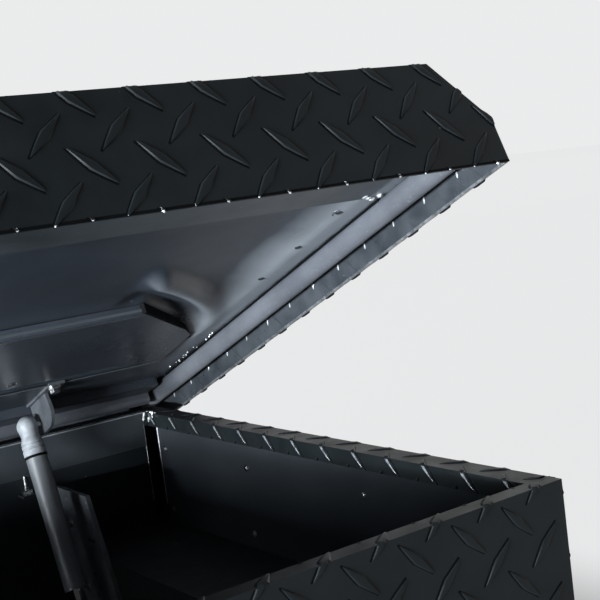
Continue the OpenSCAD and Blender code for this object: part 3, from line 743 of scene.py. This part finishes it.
def tube(path, radius, sides=28, cap=5, wobble=0.0, flat=1.0):
    """A tube round a path of points, its ends rounded. flat below 1 squeezes it along Z."""
    path = [Vector(p) for p in path]
    rings = []
    first, last = path[0], path[-1]
    start_dir = (path[0] - path[1]).normalized()
    end_dir = (path[-1] - path[-2]).normalized()
    for k in range(cap, 0, -1):
        a = k / cap * math.pi / 2
        rings.append((first + start_dir * radius * math.sin(a), radius * math.cos(a)))
    rings += [(p, radius) for p in path]
    for k in range(1, cap + 1):
        a = k / cap * math.pi / 2
        rings.append((last + end_dir * radius * math.sin(a), radius * math.cos(a)))
    verts, faces = [], []
    run = (last - first).normalized()
    side = run.cross(Vector((0, 1, 0) if abs(run.z) > 0.9 else (0, 0, 1))).normalized()
    up = side.cross(run).normalized()
    for p, r in rings:
        for k in range(sides):
            a = 2 * math.pi * k / sides
            w = 1 + wobble * noise.noise(p * 14 + Vector((math.cos(a), math.sin(a), 0)) * 0.6)
            verts.append(p + (side * math.cos(a) + up * math.sin(a) * flat) * max(r, 1e-5) * w)
    faces += ring_faces(0, len(rings), sides)
    faces.append(list(range(sides))[::-1])
    faces.append([len(verts) - sides + k for k in range(sides)])
    return verts, faces


def seal_centre(node):
    pts = shut_points(node)
    return (pts.min(0) + pts.max(0)) / 2, pts.min(0), pts.max(0)


def strip(name, section, low, high, mat, body, slot, axis=0, wobble=0.0, pieces=2, smooth=True):
    """A long strip with the same section all along. axis 0 runs along X and axis 1 along Y."""
    verts, faces = [], []
    n = len(section)
    for i in range(pieces + 1):
        run = low + (high - low) * i / pieces
        shift = wobble * noise.noise(Vector((run * 9, low, 0.7)))
        for a, z in section:
            verts.append((run, a + shift, z) if axis == 0 else (a + shift, run, z))
    faces += ring_faces(0, pieces + 1, n)
    faces.append(list(range(n)))
    faces.append([pieces * n + k for k in range(n)][::-1])
    obj = add_mesh(name, verts, faces, mat, body, smooth)
    smooth_by_angle(obj, 40, face_out=True)
    return obj


def box_section(a0, a1, z0, z1):
    return [(a0, z0), (a1, z0), (a1, z1), (a0, z1)]


def half_round(middle, r, low_z, top_z):
    """A strip's section, round below and flat above."""
    arc = [math.pi + math.pi * k / 16 for k in range(17)]
    points = [(middle + r * math.cos(t), low_z + r + r * math.sin(t)) for t in arc]
    return points + [(middle + r, top_z), (middle - r, top_z)]


BULB_R = 6 * MM
BULB_TALL = 1.37
BULB_INSET = 1.5 * MM
SEAL_NEAR_W = 40 * MM
SEAL_FAR_W = 405 * MM


def end_seal(node, side):
    """A hollow bulb on a thin base painted black as the shade in the gaps beside it, with a narrow trim
    along its inner side painted pale as a highlight on the pan's edge.
    """
    low, high = seal_centre(node)[1:]
    x = side * (max(abs(low[0]), abs(high[0])) - BULB_R - BULB_INSET)
    z = low[2] + BULB_R * BULB_TALL
    path = [(x, y, z) for y in np.linspace(low[1] + BULB_R, high[1] - BULB_R, 60)]
    verts, faces = tube(path, BULB_R, wobble=0.03, flat=BULB_TALL)
    bulb = add_mesh(node + "_bulb", verts, faces, "seal", "lid")
    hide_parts(node)
    inner = side * (abs(x) - BULB_R)
    ends = (HINGE.y - SEAL_FAR_W, HINGE.y - SEAL_NEAR_W)
    outer = side * (LINING_X - 0.2 * MM)
    # The base is black: painted shade in the gaps either side of the bulb
    base = box_section(inner + side * 2.6 * MM, outer, z + BULB_R * 0.9, FLANGE_Z)
    strip(node + "_base", base, *ends, "black", "lid", "seal_rubber", 1)
    # The trim is the pan's edge, its pale coat a painted highlight
    trim = box_section(inner + side * 0.6 * MM, inner + side * 2.5 * MM, FLANGE_Z - 1.2 * MM, FLANGE_Z)
    strip(node + "_trim", trim, *ends, "roll", "lid", "inner_sheet", 1, 0.9 * MM, 80)


def seals():
    end_seal("seal_right", 1)
    end_seal("seal_left", -1)
    mid, low, high = seal_centre("seal_front")
    r = (high[2] - low[2]) / 2
    path = [(x, mid[1], mid[2]) for x in np.linspace(low[0] + r, high[0] - r, 160)]
    verts, faces = tube(path, r, wobble=0.035)
    front = add_mesh("seal_front_bulb", verts, faces, "seal", "lid")
    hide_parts("seal_front")
    mid, low, high = seal_centre("seal_rear")
    section = half_round(mid[1], (high[1] - low[1]) / 2, low[2], high[2])
    ends = (low[0], high[0])
    rear = strip("seal_rear_bulb", section, *ends, "seal", "lid", "seal_rubber", 0, 0.5 * MM, 160)
    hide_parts("seal_rear")


seals()

# ---- lid pan ----


plate_pts = shut_points("lid_rear_plate")
PLATE_FRONT_W = HINGE.y - float(plate_pts[:, 1].min())
PLATE_REAR_W = HINGE.y - float(plate_pts[:, 1].max())
PLATE_TIP = float(plate_pts[HINGE.y - plate_pts[:, 1] > PLATE_FRONT_W - 0.1 * MM][:, 0].max())
PLATE_END = float(plate_pts[:, 0].max())
SLANT_END_W = HINGE.y - float(plate_pts[plate_pts[:, 0] > PLATE_END - 0.1 * MM][:, 1].min())
SLANT = Vector((PLATE_FRONT_W - SLANT_END_W, PLATE_END - PLATE_TIP)).normalized()


def step(x, a, b):
    """0 before a and 1 after b, smooth between."""
    t = min(max((x - a) / (b - a), 0), 1)
    return t * t * (3 - 2 * t)


RECESS_X = 820 * MM
RECESS_DEEP = 7 * MM
POCKET_DEEP = 11 * MM
POCKET_RIM = 1.5 * MM


def pan_height(x, w):
    """Height of the pan's lower face, at x across and w forward of the hinge."""
    ax = abs(x)
    if w < LOW_FLANGE_W and ax < TRAY_X:
        return LOW_FLANGE_Z
    end = 1 - min(max((ax - RECESS_X) / (36 * MM), 0), 1)
    front = 1 - step(w, 404 * MM, 416 * MM)
    rear = step(w, 98 * MM, 112 * MM)
    deep = RECESS_DEEP * min(end, front, rear)
    # Drawn pocket beyond the stiffener's slanted corner, its rim a little proud of the sheet
    past_slant = (ax - PLATE_TIP) * SLANT[0] + (w - PLATE_FRONT_W) * SLANT[1]
    beyond = max(w - PLATE_FRONT_W, past_slant, ax - PLATE_END)
    c = math.sqrt(0.5)
    dx, dw = ax - POCKET[0], w - POCKET[1]
    out = math.hypot((dx - dw) * c / POCKET_HALF[0], (dx + dw) * c / POCKET_HALF[1])
    limit = (1 - step(ax, 850 * MM, 866 * MM)) * step(ax, 738 * MM, 760 * MM)
    clear = step(beyond, 2 * MM, 8 * MM) * step(w, 135 * MM, 160 * MM)
    bowl = (1 - step(out, 1.05, 1.55)) * limit * clear
    slope = min(max((out - 0.4) / 0.6, 0), 1)
    deep += (POCKET_DEEP - (POCKET_DEEP + POCKET_RIM) * slope - deep) * bowl
    # A slight waviness of the thin sheet
    wave = noise.noise(Vector((x * 7, w * 9, 0.3))) + 0.5 * noise.noise(Vector((x * 15, w * 17, 4.1)))
    return FLANGE_Z + deep + 0.7 * MM * wave * min(end, front)


def spaced(low, high, step_fine, step_wide, fine):
    """Stations from low to high, fine within the given stretches."""
    out, x = [], low
    while x < high - 1e-6:
        out.append(x)
        close = any(a <= x <= b for a, b in fine)
        x += step_fine if close else step_wide
    out.append(high)
    return out


TRAY_X = seal_centre("seal_right")[1][0] - 2 * MM


def lid_pan():
    pts = shut_points("lid_pan")
    low, high = pts.min(0), pts.max(0)
    x_edge = high[0]
    xs = spaced(-x_edge, x_edge, 4 * MM, 20 * MM, [(-x_edge, -0.66), (0.66, x_edge)])
    xs = sorted(set(xs + [k * TRAY_X + d for k in (-1, 1) for d in (-0.2 * MM, 0.2 * MM)]))
    ws = spaced(HINGE.y - high[1], HINGE.y - low[1], 4 * MM, 4 * MM, [])
    ws = sorted(set(ws + [LOW_FLANGE_W - 0.2 * MM, LOW_FLANGE_W + 0.2 * MM]))
    verts, faces = [], []
    for x in xs:
        for w in ws:
            verts.append((x, HINGE.y - w, pan_height(x, w)))
    n = len(ws)
    for i in range(len(xs) - 1):
        for j in range(n - 1):
            a = i * n + j
            faces.append((a, a + n, a + n + 1, a + 1))
    obj = add_mesh("lid_pan_sheet", verts, faces, "pan", "lid")
    smooth_by_angle(obj, 40)
    thick = obj.modifiers.new("thickness", "SOLIDIFY")
    thick.thickness = PAN_T
    thick.offset = 1
    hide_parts("lid_pan")


ROLL_R = 4.5 * MM
ROLL_T = 0.7 * MM
SHADE_REACH = (-3.5 * MM, MM)
SHADE_TALL = (0.4 * MM, 8 * MM)


def plate_edges():
    """The stiffener's rolled long edges, in a lighter coat than its own as a painted highlight, and a black
    strip in the gap along its slanted corners as painted shade.
    """
    arc = [math.pi + math.pi / 2 * k / 8 for k in range(9)]
    rolls = (("front", PLATE_FRONT_W, 1, PLATE_TIP), ("rear", PLATE_REAR_W, -1, PLATE_END))
    for name, w, side, half in rolls:
        y = HINGE.y - w + side * (ROLL_R - 0.5 * MM)
        z = PLATE_Z + ROLL_R - 0.4 * MM
        section = []
        for r, turns in ((ROLL_R, arc), (ROLL_R - ROLL_T, arc[::-1])):
            section += [(y + side * r * math.cos(t), z + r * math.sin(t)) for t in turns]
        # The rolls take the lighter beam coat: a painted highlight along the stiffener's bends
        strip("plate_roll_" + name, section, -half, half, "beam", "lid", "inner_sheet", 0, 0, 40)
    line = [
        (PLATE_TIP - 2 * MM, PLATE_FRONT_W),
        (PLATE_END - 13 * MM, SLANT_END_W + 14 * MM),
        (PLATE_END + 2 * MM, 150 * MM),
    ]
    # A black strip as painted shade in the dark gap beyond each slanted corner
    for side, name in SIDES:
        verts, faces = [], []
        for x, w in line:
            for reach in SHADE_REACH:
                for tall in SHADE_TALL:
                    verts.append((side * (x - reach * 0.7), HINGE.y - w + reach * 0.7, PLATE_Z + tall))
        for a in range(0, 4 * len(line) - 4, 4):
            b = a + 4
            faces += [(a, a + 1, b + 1, b), (a + 2, b + 2, b + 3, a + 3)]
            faces += [(a, b, b + 2, a + 2), (a + 1, a + 3, b + 3, b + 1)]
        faces += [(0, 2, 3, 1), (8, 9, 11, 10)]
        add_mesh("corner_shade_" + name, verts, faces, "black", "lid", False)


def rolled_edges():
    """Rounded folds that show as soft lines: the pan's low step, and the rear rim, its roll in a pale metal
    as a painted highlight, with a smooth coat on its lip made pale as painted light.
    """
    sink = 0.3 * MM
    r = 2.6 * MM
    y = HINGE.y - LOW_FLANGE_W
    arc = [math.pi + math.pi / 2 * k / 6 for k in range(7)]
    section = [
        (y - sink + r + r * math.cos(t), LOW_FLANGE_Z - sink + r + r * math.sin(t)) for t in arc
    ]
    section.append((y + r, LOW_FLANGE_Z + r))
    half = TRAY_X - MM
    strip("step_roll", section, -half, half, "inner", "lid", "inner_sheet", 0, 0, 40)
    y = HALF_D - RIM_LONG
    r = 1.8 * MM
    arc = [math.pi / 2 + math.pi / 2 * k / 6 for k in range(7)]
    section = [(y - sink + r + r * math.cos(t), RIM_Z + 0.2 * MM - r + r * math.sin(t)) for t in arc]
    section.append((y + r, RIM_Z - r))
    # The roll takes the pale socket metal: a painted highlight along the rim's edge
    strip("rim_roll_rear", section, -LIP_X, LIP_X, "socket", "box", "tread_plate", 0, 0, 40)
    # The lip's smooth coat is pale: painted light for the lit band under the rim
    section = box_section(y - 0.4 * MM, y + 0.2 * MM, RIM_Z - REAR_LIP_H, RIM_Z - 1.6 * MM)
    strip("rear_lip_painted_light", section, -LIP_X, LIP_X, "rear_lip", "box", "tread_plate", 0, 0, 40)


def skirt_lining():
    """Smooth coated inner face of each end skirt, with its bright cut edge."""
    ends = (LID_FRONT + SHEET, LID_TAIL - SHEET)
    for side, name in SIDES:
        outer = side * (LID_HALF - SHEET)
        section = box_section(outer + side * 0.2 * MM, side * LINING_X, EDGE_Z, FLANGE_Z)
        strip("skirt_lining_" + name, section, *ends, "lining", "lid", "tread_plate", 1)
        inner = side * (LINING_X - 0.4 * MM)
        section = box_section(outer + side * 0.9 * MM, inner, EDGE_Z - 0.2 * MM, EDGE_Z + 1.3 * MM)
        strip("skirt_edge_" + name, section, *ends, "edge", "lid", "tread_plate", 1)


lid_pan()
plate_edges()
rolled_edges()
skirt_lining()

# ---- small pieces ----


def chips_and_glints(name, places, size):
    """Small bright flakes, some where the coat has come off and some as painted glints. Each place is
    (point, normal, along, stretch).
    """
    verts, faces = [], []
    for point, normal, along, stretch in places:
        n = Vector(normal).normalized()
        a = Vector(along).normalized()
        b = n.cross(a)
        k = 7
        base = len(verts)
        for lift, shrink in ((-0.4 * MM, 1.0), (0.12 * MM, 0.75)):
            for i in range(k):
                t = 2 * math.pi * i / k
                r = size * shrink * rng.uniform(0.65, 1.15)
                verts.append(Vector(point) + a * math.cos(t) * r * stretch + b * math.sin(t) * r + n * lift)
        faces += ring_faces(base, 2, k)
        faces.append([base + k + i for i in range(k)])
        faces.append([base + k - 1 - i for i in range(k)])
    add_mesh(name, verts, faces, "chip_and_highlight", "lid", False)


BUMP_SIDES = 12
BUMP_RINGS = ((0, 6.5, 1.6), (1.5, 4.2, 1.3), (1.9, 2.2, 0.7))


def skirt_rims():
    """The front skirt's cut edge painted black as shade, and the lug ends that stand out along the end
    skirts' edges.
    """
    # A black strip along the lower edge: painted shade
    low = EDGE_Z - 0.15 * MM
    section = box_section(LID_FRONT - 0.15 * MM, LID_FRONT + 0.5 * MM, low, EDGE_Z + 1.3 * MM)
    strip("front_edge_shade", section, -LID_HALF, LID_HALF, "black", "lid", "tread_plate", 0)
    turns = [2 * math.pi * i / BUMP_SIDES for i in range(BUMP_SIDES)]
    for side, name in SIDES:
        verts, faces = [], []
        w = FIRST_BUMP_W
        while w > 0:
            base = len(verts)
            at = Vector((side * LID_HALF, HINGE.y - w, EDGE_Z - 0.2 * MM))
            # Rings in millimetres: how far out, half length, half height
            for lift, half_l, half_h in BUMP_RINGS:
                for t in turns:
                    rise = max(math.sin(t), -0.15) * half_h * 2.2
                    verts.append(at + Vector((side * lift, half_l * math.cos(t), rise)) * MM)
            faces += ring_faces(base, len(BUMP_RINGS), BUMP_SIDES)
            faces.append([base + 2 * BUMP_SIDES + i for i in range(BUMP_SIDES)])
            faces.append([base + i for i in range(BUMP_SIDES)][::-1])
            w -= PITCH_V
        add_mesh("edge_lugs_" + name, verts, faces, "tread", "lid")


TIP_SHIFT = 9.6 * MM


def edge_chips():
    """Worn tips of the lugs along the lid's lower edge, and painted highlights at the ends of the lug marks
    on the end skirts' inner faces.
    """
    places = {1: [], -1: []}
    start = SKIRT_PHASE[0] - TIP_SHIFT
    k = math.ceil((-LID_HALF - SKIRT_PHASE[0]) / (PITCH_U / 2))
    x = start + k * PITCH_U / 2
    while x < LID_HALF - 4 * MM:
        if x > -LID_HALF + 4 * MM:
            slope = 1 if round((x - start) / (PITCH_U / 2)) % 2 == 0 else -1
            at = (x, LID_FRONT - 0.25 * MM, EDGE_Z + rng.uniform(-0.2, 0.6) * MM)
            places[slope].append((at, (0, -1, -0.4), (0.5 * slope, 0, 1), rng.uniform(1.0, 1.8)))
        x += PITCH_U / 2
    chips_and_glints("edge_chips_front", places[-1], 0.95 * MM)
    chips_and_glints("edge_chips_front_fine", places[1], 0.65 * MM)
    # Bright ticks on the skirts' inner faces: painted highlights at the lug marks' ends
    for side, name in SIDES:
        ticks = []
        w = FIRST_TICK_W
        while w > 0:
            at = (side * LINING_X, HINGE.y - w, RIM_Z + 0.8 * MM)
            ticks.append((at, (-side, 0, 0), (0, -0.35, 1), rng.uniform(2.4, 3.2)))
            w -= PITCH_V
        chips_and_glints("skirt_tick_glints_" + name, ticks, 1.1 * MM)


def lumps(name, places, body):
    """Lumpy beads of bare weld metal in one mesh. Each place is (centre, the three half sizes)."""
    bm = bmesh.new()
    for k, (centre, half) in enumerate(places):
        for v in bmesh.ops.create_icosphere(bm, subdivisions=3, radius=1)["verts"]:
            d = v.co.normalized()
            coarse = noise.noise(d * 2.3 + Vector((k, 0, 0)))
            fine = noise.noise(d * 6 + Vector((0, k, 0)))
            lump = 1 + 0.3 * coarse + 0.15 * fine
            v.co = Vector(centre) + Vector((d.x * half[0], d.y * half[1], d.z * half[2])) * lump
    mesh = bpy.data.meshes.new("lumps")
    bm.to_mesh(mesh)
    bm.free()
    verts = [v.co.copy() for v in mesh.vertices]
    faces = [tuple(p.vertices) for p in mesh.polygons]
    bpy.data.meshes.remove(mesh)
    add_mesh(name, verts, faces, "chip_and_highlight", body)


def welds():
    """Spatter at the mouth's corners and along the end trims, and beads at the ends of the front beam."""
    y = HALF_D - RIM_LONG
    for side, name in SIDES:
        places = []
        for _ in range(26):
            at = (
                side * (LIP_X + rng.uniform(-2, 5) * MM),
                y - rng.uniform(3, 24) * MM,
                RIM_Z - rng.uniform(-0.3, 8) * MM,
            )
            size = rng.uniform(0.5, 1.4) * MM
            places.append((at, (size, size * 1.3, size * 1.7)))
        front_corner = (side * (LIP_X - MM), -y + MM, RIM_Z - 6 * MM)
        places.append((front_corner, (1.4 * MM, 1.4 * MM, 3 * MM)))
        lumps("weld_spatter_" + name, places, "box")
        places = []
        for dx, w in ((-6, 414), (-1, 411), (4, 408), (8, 412)):
            at = (side * (LID_HALF - 26 * MM + dx * MM), HINGE.y - w * MM, RIM_Z + 17 * MM)
            places.append((at, (1.9 * MM, 2.4 * MM, 1.3 * MM)))
        lumps("weld_beads_" + name, places, "lid")
        places = []
        for _ in range(16):
            x = side * (TRAY_X + rng.uniform(3, 8) * MM)
            at = (x, HINGE.y - rng.uniform(50, 150) * MM, FLANGE_Z - 1.3 * MM)
            size = rng.uniform(0.3, 0.8) * MM
            places.append((at, (size, size * 1.6, size)))
        lumps("trim_spatter_" + name, places, "lid")


def corner_edge_highlights():
    """Pale lines down the edges of the two inner walls either side of the open rear corner, a painted
    highlight, thicker near the top where the light falls.
    """
    walls = (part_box("liner_rear")[0][1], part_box("liner_right")[1][1])
    top = RIM_Z - LIP_H
    stretches = ((top, top - 22 * MM, 0.5 * MM), (top - 23 * MM, top - 70 * MM, 0.2 * MM))
    for side, name in SIDES:
        x = side * (LIP_X - 0.3 * MM)
        for k, y in enumerate(walls):
            for j, (z1, z0, r) in enumerate(stretches):
                path = [(x, y, z0 + (z1 - z0) * i / 12) for i in range(13)]
                verts, faces = tube(path, r, 8, 2, 0.5)
                add_mesh(f"worn_edge_{name}_{k}_{j}", verts, faces, "chip_and_highlight", "box")


def lathe(name, profile, origin, axis, mat, body, sides=40):
    """A turned piece: the profile is (distance along the axis, radius), from end to end."""
    axis = Vector(axis).normalized()
    across = axis.cross(Vector((1, 0, 0))).normalized()
    up = axis.cross(across)
    verts = [Vector(origin) + axis * profile[0][0]]
    for s, r in profile[1:-1]:
        for k in range(sides):
            t = 2 * math.pi * k / sides
            verts.append(Vector(origin) + axis * s + (across * math.cos(t) + up * math.sin(t)) * r)
    verts.append(Vector(origin) + axis * profile[-1][0])
    faces = [(0, 1 + (k + 1) % sides, 1 + k) for k in range(sides)]
    rings = len(profile) - 2
    faces += ring_faces(1, rings, sides)
    last = 1 + (rings - 1) * sides
    faces += [(last + k, last + (k + 1) % sides, len(verts) - 1) for k in range(sides)]
    obj = add_mesh(name, verts, faces, mat, body)
    smooth_by_angle(obj, 30)
    return obj


BALL_R = 8.9 * MM
# Turned outlines in millimetres, as (along the strut, radius)
COLLAR = [(8, 7.4), (11, 8.2), (13.4, 9.3), (14.6, 9.3), (15, 8.8), (15.6, 8.8), (16, 9.4), (18.4, 9.5)]
COLLAR += [(18.9, 9.0), (19.5, 9.0), (20, 9.6), (24.6, 9.7), (25.2, 9.3), (25.2, 0)]
STRUT_RING = [(25.0, 0), (25.0, 9.35), (25.4, 9.6), (26.8, 9.6), (27.2, 9.2), (27.2, 0)]


def in_metres(profile):
    return [(a * MM, b * MM) for a, b in profile]


def strut_ends():
    """Cast ball ends of the struts, with the rings rolled into their collars, and a black band painted as
    the shade of the groove below each collar.
    """
    turns = [math.radians(6 + 9 * k) for k in range(12)]
    dome = [(-BALL_R * math.cos(t), BALL_R * math.sin(t)) for t in turns]
    profile = [(-BALL_R, 0)] + dome + in_metres(COLLAR)
    for side, name in SIDES:
        top = (side * STRUT_TOP.x, STRUT_TOP.y, STRUT_TOP.z)
        body = "strut_cylinder_" + name
        end = lathe("strut_ball_end_" + name, profile, top, STRUT_AXIS, "socket", body)
        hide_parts("strut_socket_" + name)
        # A black band: painted shade in the groove between the collar and the tube
        ring = in_metres(STRUT_RING)
        lathe("strut_groove_shade_" + name, ring, top, STRUT_AXIS, "black", body)


STUD_PARTS = (
    ("nut", [(0, 0), (0, 4.6), (3.6, 4.6), (4.2, 4), (4.2, 0)], 6),
    ("stud", [(0, 0), (0, 2), (16, 2), (16.6, 1.5), (16.6, 0)], 16),
)


def wall_studs():
    """Plated studs with their nuts, each standing on a small tab on the rear inner wall."""
    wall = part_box("liner_rear")[0][1]
    top = RIM_Z - 45 * MM
    half = 6 * MM
    tab = box_section(wall - 2 * half, wall, top - 2 * MM, top)
    for side, name in SIDES:
        for k, x in enumerate((730 * MM, 300 * MM)):
            ends = (side * x - half, side * x + half)
            strip(f"stud_tab_{name}_{k}", tab, *ends, "liner", "box", "zinc_steel", smooth=False)
            at = (side * x, wall - half, top)
            for part, profile, sides in STUD_PARTS:
                piece = f"wall_{part}_{name}_{k}"
                lathe(piece, in_metres(profile), at, (0, 0, 1), "zinc", "box", sides)


RING_AT = (854 * MM, 388 * MM)
RING_R = 5.6 * MM
RING_WIRE_R = 0.5 * MM


def rivet_rings():
    """A pressed ring round the foremost rivet of each end flange."""
    verts, faces = [], []
    round_steps, wire_steps = 32, 6
    for side in (1, -1):
        base = len(verts)
        for i in range(round_steps):
            t = 2 * math.pi * i / round_steps
            for j in range(wire_steps):
                q = 2 * math.pi * j / wire_steps
                d = RING_R + RING_WIRE_R * math.cos(q)
                x = side * RING_AT[0] + d * math.cos(t)
                y = HINGE.y - RING_AT[1] + d * math.sin(t)
                verts.append((x, y, FLANGE_Z + RING_WIRE_R * math.sin(q)))
        for i in range(round_steps):
            here = base + i * wire_steps
            there = base + (i + 1) % round_steps * wire_steps
            for j in range(wire_steps):
                k = (j + 1) % wire_steps
                faces.append((here + j, here + k, there + k, there + j))
    add_mesh("rivet_rings", verts, faces, "bracket", "lid")


skirt_rims()
edge_chips()
welds()
corner_edge_highlights()
strut_ends()
wall_studs()
rivet_rings()

# ---- materials of the CAD nodes ----

# A star stands for the right and the left node
NODE_MATS = {
    "tread": "front_panel rear_panel end_skin_* lid_skin",
    "plate": "tub_floor tub_end_* shoulder_floor_*",
    "liner": "liner_* liner_rear",
    "inner": "lid_rear_plate lid_pan",
    "beam": "lid_front_beam hinge_leaf_body hinge_leaf_lid",
    "bracket": "strut_plate_* strut_bracket_* latch_strikers",
    "rivet": "liner_rivets strut_plate_rivets hinge_rivets_body hinge_rivets_lid lid_rivets latch_rivets",
    "zinc": "hinge_pin strut_bracket_bolts ball_studs_lid striker_bolts paddle_pins latch_bolt_*",
    "socket": "strut_socket_* strut_foot_*",
    "seal": "seal_* seal_front seal_rear",
    "rubber": "rail_pad_*",
    "strut": "strut_tube_*",
    "chrome": "strut_rod_* lock_barrel_*",
    "latch": "latch_dish_* latch_paddle_*",
}


def dress_nodes():
    for mat, words in NODE_MATS.items():
        for word in words.split():
            for name in sorted({word.replace("*", side) for side in ("right", "left")}):
                obj = frame["nodes"][name]
                obj.data.materials.clear()
                obj.data.materials.append(MATS[mat])
                if "rivet" not in name:
                    bevelled(obj, 0.45 * MM)


dress_nodes()

# ---- floor, backdrop and light ----


FLOOR_GLOW = 0.68


def floor():
    """A pale floor that glows, its glow faded to a painted soft shadow round the box and dimmer in front."""
    n = Nodes("studio_floor")
    smooth = "SMOOTHSTEP"
    split = n.node("ShaderNodeSeparateXYZ")
    n.link(n.place, split.inputs["Vector"])
    out_x = n.math("SUBTRACT", n.math("ABSOLUTE", split.outputs["X"]), LID_HALF)
    out_y = n.math("SUBTRACT", n.math("ABSOLUTE", split.outputs["Y"]), LID_TAIL)
    # Painted shadow: the glow fades out near the box
    away = n.ramp(n.math("MAXIMUM", out_x, out_y), 0.62, 1.0, 0.3, 0.1, kind=smooth)
    # Painted shade: the glow is dimmer in front
    behind = n.ramp(split.outputs["Y"], 0.2, 1.0, -1.6, 0.3, kind=smooth)
    grain = n.node("ShaderNodeTexNoise", Scale=3)
    n.set(
        Base_Color=n.ramp(grain.outputs["Fac"], 0.7, 0.33, 0.3, 0.3, kind=smooth),
        Roughness=0.9,
        Specular_IOR_Level=0.0,
        Emission_Color=(0.985, 0.992, 1.0, 1),
        Emission_Strength=n.times(n.times(away, behind), FLOOR_GLOW),
    )
    bpy.ops.mesh.primitive_plane_add(size=60)
    obj = bpy.context.object
    obj.name = "studio_floor"
    obj.data.materials.append(n.mat)


def area_light(name, place, aim, size, power, color=(1, 1, 1)):
    data = bpy.data.lights.new(name, "AREA")
    data.shape = "RECTANGLE"
    data.size, data.size_y = size
    data.energy = power
    data.color = color
    obj = bpy.data.objects.new(name, data)
    obj.location = place
    obj.rotation_euler = (Vector(aim) - Vector(place)).to_track_quat("-Z", "Y").to_euler()
    bpy.context.scene.collection.objects.link(obj)


def world():
    """Bright behind and to the right, dark in front and to the left."""
    w = bpy.data.worlds.new("studio")
    w.use_nodes = True
    bpy.context.scene.world = w
    tree = w.node_tree
    coords = tree.nodes.new("ShaderNodeTexCoord")
    toward = tree.nodes.new("ShaderNodeVectorMath")
    toward.operation = "DOT_PRODUCT"
    toward.inputs[1].default_value = (0.5, 0.866, 0)
    tree.links.new(coords.outputs["Generated"], toward.inputs[0])
    ramp = tree.nodes.new("ShaderNodeMapRange")
    ramp.interpolation_type = "SMOOTHSTEP"
    limits = {"From Min": -0.3, "From Max": 0.3, "To Min": 0.03, "To Max": 0.84}
    for key, value in limits.items():
        ramp.inputs[key].default_value = value
    tree.links.new(toward.outputs["Value"], ramp.inputs["Value"])
    mix = tree.nodes.new("ShaderNodeMix")
    mix.data_type = "RGBA"
    mix.inputs["A"].default_value = (0, 0, 0, 1)
    mix.inputs["B"].default_value = (0.985, 0.99, 1.0, 1)
    tree.links.new(ramp.outputs["Result"], mix.inputs["Factor"])
    tree.links.new(mix.outputs["Result"], tree.nodes["Background"].inputs["Color"])


floor()
world()
area_light("left_strip", (-3.0, -1.2, 0.405), (0.75, 0, 0.37), (1.8, 0.05), 370, (0.9, 0.96, 1.0))
area_light("left_fill", (-3.0, -1.2, 0.19), (0.75, 0, 0.45), (1.8, 0.28), 180, (0.86, 0.94, 1.0))
bpy.context.scene.view_settings.view_transform = "Standard"
